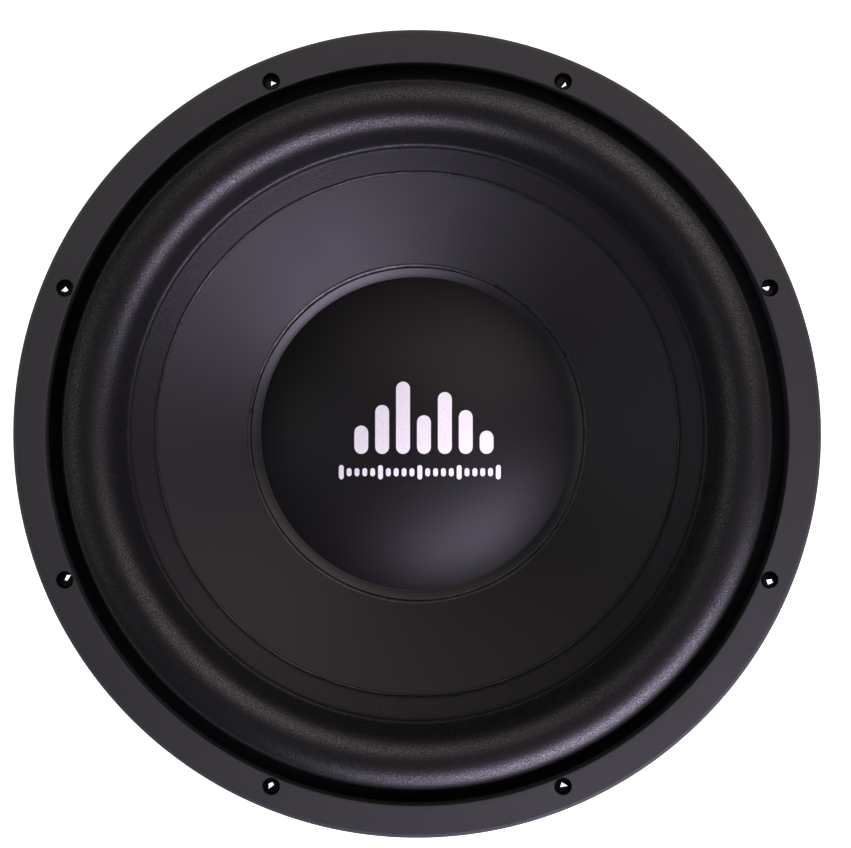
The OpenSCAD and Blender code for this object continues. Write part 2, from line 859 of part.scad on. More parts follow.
basket_rim();
basket_spokes();
basket_neck();
basket_brackets();
gasket_ring();
surround();
cone();
dust_cap();
dust_cap_glue();
cone_neck_glue();
voice_coil_former();
former_collar();
voice_coil_inner();
voice_coil_outer();
lead_eyelets();
coil_leads();
spider_upper();
spider_lower();
spider_spacer_ring();
top_plate();
top_plate_screws();
magnet_front();
magnet_rear();
t_yoke();
magnet_boot();
vent_screen();
terminal_screws();
terminal_body("a");  // terminal_a_body
terminal_back("a");  // terminal_a_back
terminal_contacts("a");  // terminal_a_contacts
terminal_body("b");  // terminal_b_body
terminal_back("b");  // terminal_b_back
terminal_contacts("b");  // terminal_b_contacts
color("firebrick") push_button("a", 1);  // button_a_plus
color([0.1, 0.1, 0.1]) push_button("a", -1);  // button_a_minus
color("firebrick") push_button("b", 1);  // button_b_plus
color([0.1, 0.1, 0.1]) push_button("b", -1);  // button_b_minus
button_spring("a", 1);  // spring_a_plus
button_spring("a", -1);  // spring_a_minus
button_spring("b", 1);  // spring_b_plus
button_spring("b", -1);  // spring_b_minus
tinsel_lead("a", 1);  // tinsel_lead_a_plus
tinsel_lead("a", -1);  // tinsel_lead_a_minus
tinsel_lead("b", 1);  // tinsel_lead_b_plus
tinsel_lead("b", -1);  // tinsel_lead_b_minus
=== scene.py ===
"""Looks for the car subwoofer speaker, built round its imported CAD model.

Lengths in this file are millimetres, and become metres when a mesh or a light is made.
The speaker's axis is Z and its front faces +Z.
"""

import math

import bmesh
import bpy
import numpy as np
from mathutils import Matrix, Vector


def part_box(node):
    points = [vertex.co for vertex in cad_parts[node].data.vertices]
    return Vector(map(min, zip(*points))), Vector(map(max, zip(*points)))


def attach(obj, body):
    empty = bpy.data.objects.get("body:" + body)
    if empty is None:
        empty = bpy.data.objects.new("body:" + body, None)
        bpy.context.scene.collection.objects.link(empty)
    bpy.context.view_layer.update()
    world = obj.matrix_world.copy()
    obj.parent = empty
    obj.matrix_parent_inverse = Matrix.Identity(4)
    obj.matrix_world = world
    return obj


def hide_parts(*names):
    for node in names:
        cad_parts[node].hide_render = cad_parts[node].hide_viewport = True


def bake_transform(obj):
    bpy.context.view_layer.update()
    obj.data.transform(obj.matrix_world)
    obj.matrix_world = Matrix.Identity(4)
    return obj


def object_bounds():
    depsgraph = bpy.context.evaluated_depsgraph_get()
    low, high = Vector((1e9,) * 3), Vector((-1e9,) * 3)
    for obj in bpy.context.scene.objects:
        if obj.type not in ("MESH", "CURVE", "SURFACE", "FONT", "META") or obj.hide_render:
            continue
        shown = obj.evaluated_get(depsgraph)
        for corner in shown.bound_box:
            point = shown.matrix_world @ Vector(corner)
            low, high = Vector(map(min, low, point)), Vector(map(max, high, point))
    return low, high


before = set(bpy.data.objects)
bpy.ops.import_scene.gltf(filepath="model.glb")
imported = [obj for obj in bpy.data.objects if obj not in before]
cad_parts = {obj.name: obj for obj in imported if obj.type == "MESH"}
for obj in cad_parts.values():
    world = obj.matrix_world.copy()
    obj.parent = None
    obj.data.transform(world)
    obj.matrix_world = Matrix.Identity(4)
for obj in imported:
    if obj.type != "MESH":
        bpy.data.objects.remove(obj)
CAD_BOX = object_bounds()

MM = 0.001
FRAME_BODY, CONE_BODY = "frame_assembly", "moving_assembly"
SIDES = (("a", 1), ("b", -1))  # each terminal and the side of Y it is on
POLES = (("plus", 1), ("minus", -1))  # each button and the side of its terminal it is on


# ------------------------ sizes


def low(node):
    """Height of a CAD node's lowest point."""
    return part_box(node)[0].z / MM


def high(node):
    """Height of a CAD node's highest point."""
    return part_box(node)[1].z / MM


def radius(node):
    """Outer radius of a round CAD node."""
    lo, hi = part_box(node)
    return (hi.x - lo.x) / 2 / MM


# Gasket, flange and mounting holes
GASKET_R = radius("gasket_ring")
GASKET_TOP, GASKET_LOW = high("gasket_ring"), low("gasket_ring")
GASKET_INNER_R = 141.5
FLANGE_R = radius("basket_rim")
BOLT_CIRCLE_R = 146.25
BOLT_COUNT = 8
GASKET_HOLE_R, FLANGE_HOLE_R = 3.4, 2.75

# Cone, flared from its neck to its edge
CONE_R = 110.8
CONE_EDGE_Z = high("cone")
CONE_NECK_LOW = low("cone")
CONE_NECK_R = 38.4
CONE_T = 1.3
NECK_COLLAR = 4  # height of the collar below the slope
CONE_BOW = 1.2  # how far the middle of the slope stands forward of a straight one
CONE_SLOPE = (CONE_EDGE_Z - CONE_NECK_LOW - NECK_COLLAR) / (CONE_R - CONE_NECK_R)

# Surround: a lip on the cone, a straight flank, a round crown and a tighter shoulder outside it
LIP_W = 9.6
LIP_TRIM = (3, 0.22, 3, 90)  # how the lip's hand-trimmed edge wavers
FOAM_T = 1
ROLL_INNER_R, ROLL_OUTER_R = 111, 136.4
SHOULDER_TILT, FLANK_TILT = 35, 56
CROWN_R, CROWN_CURVE_R, SHOULDER_CURVE_R = 126.8, 13.4, 4.49
CROWN_CENTRE = np.array([CROWN_R, high("surround") - CROWN_CURVE_R])
SHOULDER_CENTRE = CROWN_CENTRE + (CROWN_CURVE_R - SHOULDER_CURVE_R) * np.array(
    [math.sin(math.radians(SHOULDER_TILT)), math.cos(math.radians(SHOULDER_TILT))]
)

# Dust cap
CAP_R = 65
DOME_R = 61.2
DOME_SPHERE_R = 105
CAP_T = 0.8
GLUE_GAP = 0.05  # between two pieces that are glued or pressed together


def cone_z(r):
    """Height of the flared cone's front face at radius r."""
    t = (r - CONE_NECK_R) / (CONE_R - CONE_NECK_R)
    return CONE_EDGE_Z - (CONE_R - r) * CONE_SLOPE + 4 * CONE_BOW * t * (1 - t)


DOME_CENTRE_Z = cone_z(DOME_R) + GLUE_GAP + CAP_T - math.sqrt(DOME_SPHERE_R**2 - DOME_R**2)


def dome_z(x, y):
    """Height of the dust cap's dome over a point."""
    return DOME_CENTRE_Z + math.sqrt(DOME_SPHERE_R**2 - x * x - y * y)


# ------------------------ mesh helpers


def place_in_scene(name, data):
    """An object for a mesh, a light or a camera."""
    obj = bpy.data.objects.new(name, data)
    bpy.context.scene.collection.objects.link(obj)
    return obj


def smooth_object(name, mesh, body):
    """An object for a mesh with smooth faces, which may ride on a body."""
    mesh.shade_smooth()
    obj = place_in_scene(name, mesh)
    if body:
        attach(obj, body)
    return obj


def make(name, vertices, faces, body=None):
    """A smooth mesh object from points in millimetres."""
    mesh = bpy.data.meshes.new(name)
    points = np.asarray(vertices, float).reshape(-1, 3) * MM
    mesh.from_pydata(points.tolist(), [], faces)
    mesh.validate()
    return smooth_object(name, mesh, body)


def rounded(points, steps=6):
    """A closed outline with round corners: each point is (u, v) or (u, v, radius)."""
    out = []
    for i, point in enumerate(points):
        corner = np.array(point[:2], float)
        r = point[2] if len(point) > 2 else 0
        if r == 0:
            out.append(tuple(corner))
            continue
        a = np.array(points[i - 1][:2], float) - corner
        b = np.array(points[(i + 1) % len(points)][:2], float) - corner
        shortest = min(np.linalg.norm(a), np.linalg.norm(b))
        a, b = a / np.linalg.norm(a), b / np.linalg.norm(b)
        half = math.acos(max(-1, min(1, float(a @ b)))) / 2
        reach = min(r / math.tan(half), 0.49 * shortest)
        r = reach * math.tan(half)
        centre = corner + (a + b) / np.linalg.norm(a + b) * r / math.sin(half)
        start, end = corner + a * reach - centre, corner + b * reach - centre
        first = math.atan2(start[1], start[0])
        turn = (math.atan2(end[1], end[0]) - first + math.pi) % math.tau - math.pi
        for k in range(steps + 1):
            t = first + turn * k / steps
            out.append((centre[0] + r * math.cos(t), centre[1] + r * math.sin(t)))
    return out


def rectangle(left, under, right, over, r=0):
    """Outline of an upright rectangle, each corner with a radius for rounded."""
    return [(left, under, r), (right, under, r), (right, over, r), (left, over, r)]


def arc(centre, r, start, end, steps):
    """Points of an arc between two angles in degrees."""
    turn = [math.radians(start + (end - start) * k / steps) for k in range(steps + 1)]
    return [(centre[0] + r * math.cos(t), centre[1] + r * math.sin(t)) for t in turn]


def subdivided(outline, step):
    """The closed outline again, with no stretch longer than step."""
    out = []
    for i, point in enumerate(outline):
        after = outline[(i + 1) % len(outline)]
        count = max(1, math.ceil(math.dist(point, after) / step))
        out += [tuple(np.array(point) + (np.array(after) - point) * k / count) for k in range(count)]
    return out


def tube_faces(rows, count, closed=True):
    """Faces between rows of points, each row a loop of count; closed joins the last row to the first."""
    i, j = np.meshgrid(np.arange(rows if closed else rows - 1), np.arange(count), indexing="ij")
    after_i, after_j = (i + 1) % rows, (j + 1) % count
    corners = (i * count + j, after_i * count + j, after_i * count + after_j, i * count + after_j)
    return np.stack(corners, axis=2).reshape(-1, 4).tolist()


def lathe(name, outline, segments=288, body=None, shift=None):
    """A closed outline of (r, z) turned round Z. shift(r, z, angle) may move its points."""
    r, z = np.array(outline, float).T
    if np.sum(r * np.roll(z, -1) - np.roll(r, -1) * z) < 0:
        r, z = r[::-1], z[::-1]
    touches_axis = np.min(r) < 1e-6
    angle = np.linspace(0, math.tau, segments, endpoint=False)[:, None]
    r, z = np.tile(r, (segments, 1)), np.tile(z, (segments, 1))
    if shift:
        r, z = shift(r, z, angle)
    points = np.stack([r * np.cos(angle), r * np.sin(angle), z], axis=2)
    obj = make(name, points, tube_faces(segments, len(outline)), body)
    if touches_axis:
        weld(obj)
    return obj


def weld(obj):
    """Joins points that lie together, drops faces that have no size and turns the rest outward."""
    distance = 1e-6
    bm = bmesh.new()
    bm.from_mesh(obj.data)
    bmesh.ops.remove_doubles(bm, verts=bm.verts, dist=distance)
    bmesh.ops.dissolve_degenerate(bm, edges=bm.edges, dist=distance / 10)
    bmesh.ops.recalc_face_normals(bm, faces=bm.faces)
    bm.to_mesh(obj.data)
    bm.free()


def loft(name, rings, body=None, closed=False):
    """A tube through rings of points, each ring with the same count; closed joins its ends."""
    rings = np.array(rings, float)
    n, count = rings.shape[:2]
    faces = tube_faces(n, count, closed)
    if not closed:
        faces.append(tuple(range(count - 1, -1, -1)))
        faces.append(tuple((n - 1) * count + j for j in range(count)))
    obj = make(name, rings, faces, body)
    weld(obj)
    return obj


def prism(name, outline, place, depth, body=None):
    """A flat outline in (u, v) pushed out by depth; place(u, v, w) puts a point in space."""
    rings = [[place(u, v, w) for u, v in outline] for w in (0, depth)]
    return loft(name, rings, body)


def join(name, pieces, body=None):
    """One object from several."""
    bm = bmesh.new()
    for piece in pieces:
        piece.data.transform(piece.matrix_basis)
        bm.from_mesh(piece.data)
        bpy.data.objects.remove(piece)
    mesh = bpy.data.meshes.new(name)
    bm.to_mesh(mesh)
    bm.free()
    return smooth_object(name, mesh, body)


def apply_modifiers(obj):
    """Puts the result of an object's modifiers into its mesh."""
    graph = bpy.context.evaluated_depsgraph_get()
    mesh = bpy.data.meshes.new_from_object(obj.evaluated_get(graph))
    obj.modifiers.clear()
    old, obj.data = obj.data, mesh
    bpy.data.meshes.remove(old)


def combine(obj, others, operation="DIFFERENCE"):
    """An exact boolean of one object with several, which are used up."""
    for other in others:
        step = obj.modifiers.new(operation, "BOOLEAN")
        step.operation, step.solver, step.object = operation, "EXACT", other
    apply_modifiers(obj)
    for other in others:
        bpy.data.objects.remove(other)


def soften(obj, width, segments=3, angle=35):
    """Rounds the sharp edges of a mesh and smooths its faces up to them."""
    bevel = obj.modifiers.new("bevel", "BEVEL")
    bevel.width, bevel.segments = width * MM, segments
    bevel.limit_method, bevel.angle_limit = "ANGLE", math.radians(angle)
    bevel.harden_normals = True
    apply_modifiers(obj)
    obj.data.shade_smooth()


def creased(obj, angle):
    """Smooth faces, with sharp shading across edges steeper than an angle."""
    obj.data.shade_smooth()
    bm = bmesh.new()
    bm.from_mesh(obj.data)
    for edge in bm.edges:
        edge.smooth = len(edge.link_faces) != 2 or edge.calc_face_angle(0) < math.radians(angle)
    bm.to_mesh(obj.data)
    bm.free()


def along(origin, direction, length, r, segments=48):
    """A rod from origin along a direction, with flat ends."""
    ahead = Vector(direction).normalized()
    side = ahead.orthogonal().normalized()
    rise = ahead.cross(side)
    turns = [math.tau * k / segments for k in range(segments)]
    rim = [r * (math.cos(a) * side + math.sin(a) * rise) for a in turns]
    rings = [[tuple(Vector(origin) + ahead * t + out) for out in rim] for t in (0, length)]
    return loft("rod", rings)


def turned(obj, degrees):
    """Turns an object's mesh round Z."""
    obj.data.transform(Matrix.Rotation(math.radians(degrees), 4, "Z"))
    return obj


def waver(angle, seed, size, lowest=2, highest=40):
    """A smooth irregular ring of offsets, the same each time for one seed."""
    rng = np.random.default_rng(seed)
    total = np.zeros_like(angle)
    for n in range(lowest, highest):
        total += rng.normal() / n**0.7 * np.sin(n * angle + rng.uniform(0, math.tau))
    return size * total / np.max(np.abs(total))


# ------------------------ materials


class Surface:
    """A Principled material, with short ways to add the nodes that this model uses."""

    def __init__(self, name, **sockets):
        self.material = bpy.data.materials.new(name)
        self.material.use_nodes = True
        self.tree = self.material.node_tree
        self.shader = self.tree.nodes["Principled BSDF"]
        self.place = self.node("TexCoord").outputs["Object"]
        for socket, value in sockets.items():
            self.shader.inputs[socket.replace("_", " ")].default_value = value

    def node(self, kind, inputs=(), **settings):
        """A new node, with its inputs linked or set."""
        node = self.tree.nodes.new("ShaderNode" + kind)
        for key, value in settings.items():
            setattr(node, key, value)
        for key, value in dict(inputs).items():
            if isinstance(value, bpy.types.NodeSocket):
                self.tree.links.new(value, node.inputs[key])
            else:
                node.inputs[key].default_value = value
        return node

    def noise(self, size, detail=2.0, roughness=0.5, place=None):
        """Noise with blobs about size millimetres across."""
        inputs = {"Vector": place or self.place, "Scale": 1 / (size * MM)}
        inputs |= {"Detail": detail, "Roughness": roughness}
        return self.node("TexNoise", inputs).outputs["Fac"]

    def spread(self, value, low_in, high_in, low_out, high_out):
        """The value carried over from one range to another, and held at the ends."""
        inputs = {"Value": value, "From Min": low_in, "From Max": high_in}
        inputs |= {"To Min": low_out, "To Max": high_out}
        return self.node("MapRange", inputs).outputs["Result"]

    def math(self, operation, a, b=0.0, c=0.0):
        """A sum or another operation on one, two or three values."""
        return self.node("Math", {0: a, 1: b, 2: c}, operation=operation).outputs[0]

    def between(self, fac, a, b):
        """A colour that goes from a to b."""
        a, b = (c if isinstance(c, bpy.types.NodeSocket) else (*c, 1) for c in (a, b))
        mix = self.node("Mix", {0: fac, 6: a, 7: b}, data_type="RGBA")
        return mix.outputs[2]

    def bump(self, height, depth):
        """Shading relief of about depth millimetres."""
        inputs = {"Height": height, "Distance": depth * MM, "Strength": 1.0}
        return self.node("Bump", inputs).outputs["Normal"]

    def axes(self):
        """The three coordinates of a point, in metres."""
        return self.node("SeparateXYZ", {0: self.place}).outputs

    def finish(self, base, gloss, height, depth):
        """The finished material, with a colour, a roughness and relief depth millimetres deep."""
        return self.feed(Base_Color=base, Roughness=gloss, Normal=self.bump(height, depth))

    def feed(self, **sockets):
        """Links values to the shader's sockets and returns the finished material."""
        for socket, value in sockets.items():
            self.tree.links.new(value, self.shader.inputs[socket.replace("_", " ")])
        return self.material


def tint(colour, factor):
    """The colour made darker or lighter."""
    return tuple(c * factor for c in colour)


def moulded(name, colour, rough, grain=0.4, depth=0.02, vary=0.12, rough_vary=0.06, **sockets):
    """A moulded, cast or painted surface: fine grain, faint patches of colour and gloss, few specks."""
    s = Surface(name, **sockets)
    patches = s.noise(25, 4, 0.6)
    grains = s.noise(grain, 3, 0.6)
    specks = s.spread(s.noise(0.9, 1, 0.5), 0.74, 0.8, 0, 1)
    base = s.between(patches, tint(colour, 1 - vary), tint(colour, 1 + vary))
    base = s.between(s.spread(grains, 0.35, 0.65, 0.25, 0), base, tint(colour, 0.3))
    base = s.between(s.math("MULTIPLY", specks, 0.18), base, tint(colour, 3))
    gloss = s.spread(s.math("ADD", patches, grains), 0.6, 1.4, rough - rough_vary, rough + rough_vary)
    return s.finish(base, gloss, grains, depth)


def foam_material(name, tone, specular, glints=False):
    """Heat formed foam: open grain under a millimetre across, with pale grains painted into its colour as
    glints over the foam's own grain.
    """
    s = Surface(name, Specular_IOR_Level=specular)
    coarse, fine = s.noise(1.1, 3, 0.65), s.noise(0.42, 2, 0.6)
    patches = s.noise(30, 4, 0.6)
    pits = s.math("MULTIPLY_ADD", fine, 0.6, s.math("MULTIPLY", coarse, 0.4))
    dark = s.between(patches, tint((0.0075, 0.0072, 0.0082), tone), tint((0.0098, 0.0093, 0.0106), tone))
    # Pale grains on the peaks of the grain: the foam's own grain, made paler as painted glints.
    base = s.between(s.spread(fine, 0.48, 0.66, 0, 1), dark, tint((0.023, 0.022, 0.0245), tone))
    gloss = s.spread(fine, 0.35, 0.65, 0.48, 0.24)
    if glints:
        s.feed(Specular_IOR_Level=s.spread(fine, 0.38, 0.62, 0.5 * specular, 1.5 * specular))
    return s.finish(base, gloss, pits, 0.12)


def glue_material(name, colour, roughness=0.12):
    """Cured glue: glossy, with slow waves."""
    s = Surface(name, Specular_IOR_Level=0.4)
    waves = s.noise(3.5, 3, 0.5)
    base = s.between(s.noise(8, 2, 0.5), tint(colour, 0.8), tint(colour, 1.3))
    gloss = s.spread(waves, 0.35, 0.65, roughness * 0.8, roughness * 1.4)
    return s.finish(base, gloss, waves, 0.25)


def print_material():
    """Silver screen print, with the metal flake that such ink has."""
    s = Surface("emblem_print", Metallic=0.1)
    flake = s.noise(0.35, 1, 0.5)
    worn = s.noise(2.2, 4, 0.7)
    base = s.between(s.spread(flake, 0.35, 0.65, 0, 1), (0.8, 0.79, 0.8), (0.95, 0.94, 0.94))
    base = s.between(s.spread(worn, 0.7, 0.78, 0, 0.4), base, (0.4, 0.39, 0.4))
    gloss = s.spread(flake, 0.3, 0.7, 0.38, 0.55)
    return s.finish(base, gloss, flake, 0.015)


def plated_material(name, colour, roughness=0.32, lines=True):
    """Plated steel, with fine turning lines round Z and dull patches."""
    s = Surface(name, Metallic=1.0)
    x, y, z = s.axes()
    r = s.math("SQRT", s.math("ADD", s.math("MULTIPLY", x, x), s.math("MULTIPLY", y, y)))
    ring = s.node("CombineXYZ", {0: r, 1: z}).outputs[0]
    grooves = s.noise(0.25, 2, 0.6, ring) if lines else s.noise(0.3, 2, 0.6)
    patches = s.noise(12, 5, 0.65)
    base = s.between(patches, tint(colour, 0.75), tint(colour, 1.15))
    gloss = s.spread(s.math("ADD", patches, grooves), 0.6, 1.4, roughness - 0.08, roughness + 0.16)
    return s.finish(base, gloss, grooves, 0.012)


def cloth_material():
    """Resin-stiffened open weave, in the amber of treated cotton."""
    s = Surface("spider_cloth", Specular_IOR_Level=0.4)
    x, y, _ = s.axes()
    pitch = math.tau / (0.7 * MM)
    warp = s.math("SINE", s.math("MULTIPLY", x, pitch))
    weft = s.math("SINE", s.math("MULTIPLY", y, pitch))
    thread = s.math("ABSOLUTE", s.math("MULTIPLY", warp, weft))
    mottle = s.noise(6, 4, 0.6)
    amber = s.between(mottle, (0.3, 0.17, 0.05), (0.5, 0.32, 0.11))
    base = s.between(s.spread(thread, 0.05, 0.6, 0, 1), tint((0.3, 0.17, 0.05), 0.35), amber)
    gloss = s.spread(mottle, 0.3, 0.7, 0.45, 0.65)
    return s.finish(base, gloss, thread, 0.12)


def wound_material(name, colour, pitch):
    """Windings or wire, with a groove between turns that are a pitch apart along Z, painted darker as
    shade.
    """
    s = Surface(name, Metallic=1.0)
    _, _, z = s.axes()
    turns = s.math("SINE", s.math("MULTIPLY", z, math.tau / (pitch * MM)))
    # The grooves between turns are painted darker, as painted shade.
    base = s.between(s.spread(turns, -1, 0.2, 0, 1), tint(colour, 0.3), colour)
    gloss = s.spread(s.noise(2, 3), 0.3, 0.7, 0.25, 0.42)
    return s.finish(base, gloss, turns, 0.06)


def ferrite_material():
    """Ground ceramic magnet: dark grey, with grinding marks and small chips."""
    s = Surface("ferrite", Specular_IOR_Level=0.5)
    chips = s.spread(s.noise(1.6, 4, 0.7), 0.62, 0.72, 0, 1)
    base = s.between(s.noise(10, 4), (0.04, 0.04, 0.043), (0.075, 0.075, 0.08))
    base = s.between(chips, base, (0.14, 0.14, 0.14))
    gloss = s.spread(s.noise(0.5, 3), 0.3, 0.7, 0.5, 0.7)
    return s.finish(base, gloss, chips, 0.1)


def braid_material():
    """Tinsel lead: fine copper strands braided over a cotton core."""
    s = Surface("tinsel_braid", Metallic=0.75)
    strands = s.noise(0.25, 2, 0.7)
    base = s.between(s.spread(strands, 0.35, 0.65, 0, 1), (0.16, 0.08, 0.045), (0.62, 0.34, 0.2))
    gloss = s.spread(strands, 0.3, 0.7, 0.35, 0.6)
    return s.finish(base, gloss, strands, 0.08)


SATIN = {"grain": 0.3, "depth": 0.006, "vary": 0.05, "rough_vary": 0.03}
GLAZED = {"grain": 0.5, "depth": 0.01, "vary": 0.1, "Coat_Weight": 0.3}
MATERIALS = {
    "gasket": moulded(
        "gasket_rubber", (0.0262, 0.0262, 0.0272), 0.56, 0.45, 0.03, 0.06, Specular_IOR_Level=0.43
    ),
    "foam": foam_material("surround_foam", 0.42, 0.42, glints=True),
    "foam_lip": foam_material("surround_foam_lip", 0.9, 0.13),
    # Darker copy of the foam with almost no shine, for the land in the groove beside the gasket: painted
    # shade where the groove lies in shadow.
    "foam_groove_painted_shade": foam_material("surround_foam_groove", 0.3, 0.02),
    "cone": moulded("cone_satin", (0.009, 0.0086, 0.0094), 0.47, Specular_IOR_Level=0.27, **SATIN),
    "dome": moulded("dust_cap_satin", (0.008, 0.0076, 0.0083), 0.46, Specular_IOR_Level=0.2, **SATIN),
    "cap_lip": moulded("cap_lip_satin", (0.006, 0.0058, 0.0063), 0.38, Specular_IOR_Level=0.4, **SATIN),
    "black_glue": glue_material("glue_black", (0.006, 0.006, 0.006), 0.32),
    "amber_glue": glue_material("glue_amber", (0.3, 0.17, 0.05), 0.2),
    "print": print_material(),
    "basket": moulded("basket_paint", (0.022, 0.022, 0.023), 0.42, 0.7, 0.05, 0.15, 0.08, Coat_Weight=0.15),
    "boot": moulded("boot_rubber", (0.016, 0.016, 0.016), 0.58, 0.35, 0.03, 0.2, 0.08),
    "plate": plated_material("plated_steel", (0.5, 0.49, 0.46)),
    "screw": plated_material("screw_steel", (0.28, 0.28, 0.29), 0.3, False),
    "mesh": moulded("screen_mesh", (0.05, 0.05, 0.052), 0.4, 0.5, 0.02, 0.2, 0.08, Metallic=0.8),
    "ferrite": ferrite_material(),
    "cloth": cloth_material(),
    "board": moulded("spacer_board", (0.09, 0.065, 0.045), 0.8, 0.5, 0.05, 0.25),
    "foil": plated_material("former_foil", (0.75, 0.75, 0.77), 0.28),
    "film": moulded("collar_film", (0.42, 0.17, 0.03), 0.3, 0.6, 0.01, 0.15),
    "copper": wound_material("copper_wire", (0.72, 0.33, 0.18), 0.45),
    "brass": plated_material("contact_brass", (0.72, 0.53, 0.25), 0.26, False),
    "plastic": moulded("terminal_plastic", (0.018, 0.018, 0.019), 0.36, 0.4, 0.015, 0.12),
    "red": moulded("button_red", (0.5, 0.018, 0.014), 0.28, **GLAZED),
    "black": moulded("button_black", (0.014, 0.014, 0.014), 0.28, **GLAZED),
    "spring": plated_material("spring_wire", (0.6, 0.6, 0.62), 0.3, False),
    "braid": braid_material(),
}


def dress(obj, material, crease=None):
    """Gives a piece its material, and sharp creases."""
    if crease:
        creased(obj, crease)
    obj.data.materials.clear()
    obj.data.materials.append(MATERIALS[material])


def dress_part(obj, material, inner_r, outer_r):
    """Gives the faces between two radii another material."""
    obj.data.materials.append(MATERIALS[material])
    for face in obj.data.polygons:
        if inner_r * MM < face.center.xy.length < outer_r * MM:
            face.material_index = len(obj.data.materials) - 1


# CAD nodes whose shape is right as it is
KEPT = {
    "voice_coil_former": "foil", "former_collar": "film", "voice_coil_inner": "copper",
    "voice_coil_outer": "copper", "lead_eyelets": "brass", "coil_leads": "copper",
    "top_plate_screws": "screw", "terminal_screws": "screw", "magnet_front": "ferrite",
    "magnet_rear": "ferrite", "terminal_a_contacts": "brass", "terminal_b_contacts": "brass",
    "cone_neck_glue": "amber_glue", "spider_spacer_ring": "board",
}


def dress_kept_nodes():
    """Gives each kept CAD node its material."""
    for node, material in KEPT.items():
        dress(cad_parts[node], material)


# ------------------------ front of the speaker


def bolt_places():
    """Angles of the mounting holes."""
    return [math.radians(360 * (k + 0.5) / BOLT_COUNT) for k in range(BOLT_COUNT)]


def around(r, angle, z):
    """A point at a radius, an angle round the axis and a height."""
    return r * math.cos(angle), r * math.sin(angle), z


def bolt_cutters(r, start, end):
    """Rods that cut the mounting holes."""
    return [along(around(BOLT_CIRCLE_R, a, start), (0, 0, 1), end - start, r) for a in bolt_places()]


def gasket():
    """Moulded ring: chamfered outside, and a leaning wall with a small round at its top inside."""
    inner_round, chamfer, lean = 0.5, 1.25, 1.1
    outline = rounded([
        (GASKET_INNER_R, GASKET_LOW, 0.3), (GASKET_R - 0.2, GASKET_LOW, 0.3),
        (GASKET_R, GASKET_TOP - chamfer, 0.35), (GASKET_R - chamfer, GASKET_TOP, 0.35),
        (GASKET_INNER_R + lean, GASKET_TOP, inner_round),
    ], 8)
    ring = lathe("gasket_moulding", subdivided(outline, 2.5), 360, FRAME_BODY)
    combine(ring, bolt_cutters(GASKET_HOLE_R, GASKET_LOW - 1, GASKET_TOP + 1))
    dress(ring, "gasket", 40)
    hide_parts("gasket_ring")


def roll_face(depth, steps):
    """The roll's face from its outer wall to its foot, at a depth under the face."""
    shoulder = arc(SHOULDER_CENTRE, SHOULDER_CURVE_R - depth, 0, 90 - SHOULDER_TILT, steps)
    crown = arc(CROWN_CENTRE, CROWN_CURVE_R - depth, 92 - SHOULDER_TILT, 90 + FLANK_TILT, 2 * steps)
    tilt = math.radians(FLANK_TILT)
    end_r, end_z = crown[-1]
    reach = CROWN_CENTRE[0] - CROWN_CURVE_R * math.sin(tilt) - ROLL_INNER_R
    flank = [(end_r - reach * k / 6, end_z - reach * math.tan(tilt) * k / 6) for k in range(1, 7)]
    return shoulder + crown + flank


def on_cone(r, height):
    """A point of a section, at a height over the cone's face."""
    return r, cone_z(r) + height


def foam_outline():
    """The surround's section: land, roll, a creased foot, and a lip glued on the cone."""
    lip_end, lip_top, land_top = CONE_R - LIP_W, GLUE_GAP + FOAM_T, GASKET_LOW - GLUE_GAP
    face, back = roll_face(0, 24), roll_face(FOAM_T, 16)[::-1]
    lip = [on_cone(CONE_R - 0.9 - (LIP_W - 1.5) * k / 8, lip_top) for k in range(9)]
    return (
        [(FLANGE_R - 1.2, land_top - FOAM_T + 0.1), (FLANGE_R - 1.2, land_top)]
        + [(ROLL_OUTER_R + 3, land_top), (ROLL_OUTER_R + 0.5, land_top)]
        + [(ROLL_OUTER_R + 0.15, land_top + 0.15), (ROLL_OUTER_R, land_top + 0.5)]
        + face[:-1]
        + [(ROLL_INNER_R + 0.5, cone_z(CONE_R) + 2.2), (CONE_R + 0.1, cone_z(CONE_R) + 1.75)]
        + [on_cone(CONE_R - 0.3, lip_top + 0.55), on_cone(CONE_R - 0.6, lip_top + 0.12)]
        + lip
        + [on_cone(lip_end + 0.25, FOAM_T * 0.8), on_cone(lip_end, FOAM_T * 0.35)]
        + [on_cone(lip_end, GLUE_GAP), on_cone(CONE_R - 0.2, GLUE_GAP)]
        + back
        + [(ROLL_OUTER_R - FOAM_T, land_top - FOAM_T + 0.1)]
    )


def surround():
    """Foam surround, with a hand-trimmed inner edge and a slightly uneven roll."""
    lip_end = CONE_R - LIP_W
    half_w = (ROLL_OUTER_R - ROLL_INNER_R) / 2

    def shift(r, z, angle):
        trim = waver(angle, *LIP_TRIM)
        near_edge = np.clip(1 - (r - lip_end) / 2.5, 0, 1)
        roll = np.clip(1 - np.abs(r - ROLL_INNER_R - half_w) / half_w, 0, 1)
        lift = waver(angle, 8, 0.12, 2, 9) * roll
        return r + near_edge * trim, z + lift + near_edge * trim * CONE_SLOPE

    ring = lathe("foam_surround", foam_outline(), 480, None, shift)
    dress(ring, "foam")
    combine(ring, bolt_cutters(GASKET_HOLE_R, 0, GASKET_TOP))
    creased(ring, 50)
    dress_part(ring, "foam_lip", 0, ROLL_INNER_R)
    # The land in the groove gets the darker copy of the foam, as painted shade for the groove's shadow.
    dress_part(ring, "foam_groove_painted_shade", ROLL_OUTER_R, math.inf)
    blend_radially(ring)
    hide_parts("surround")


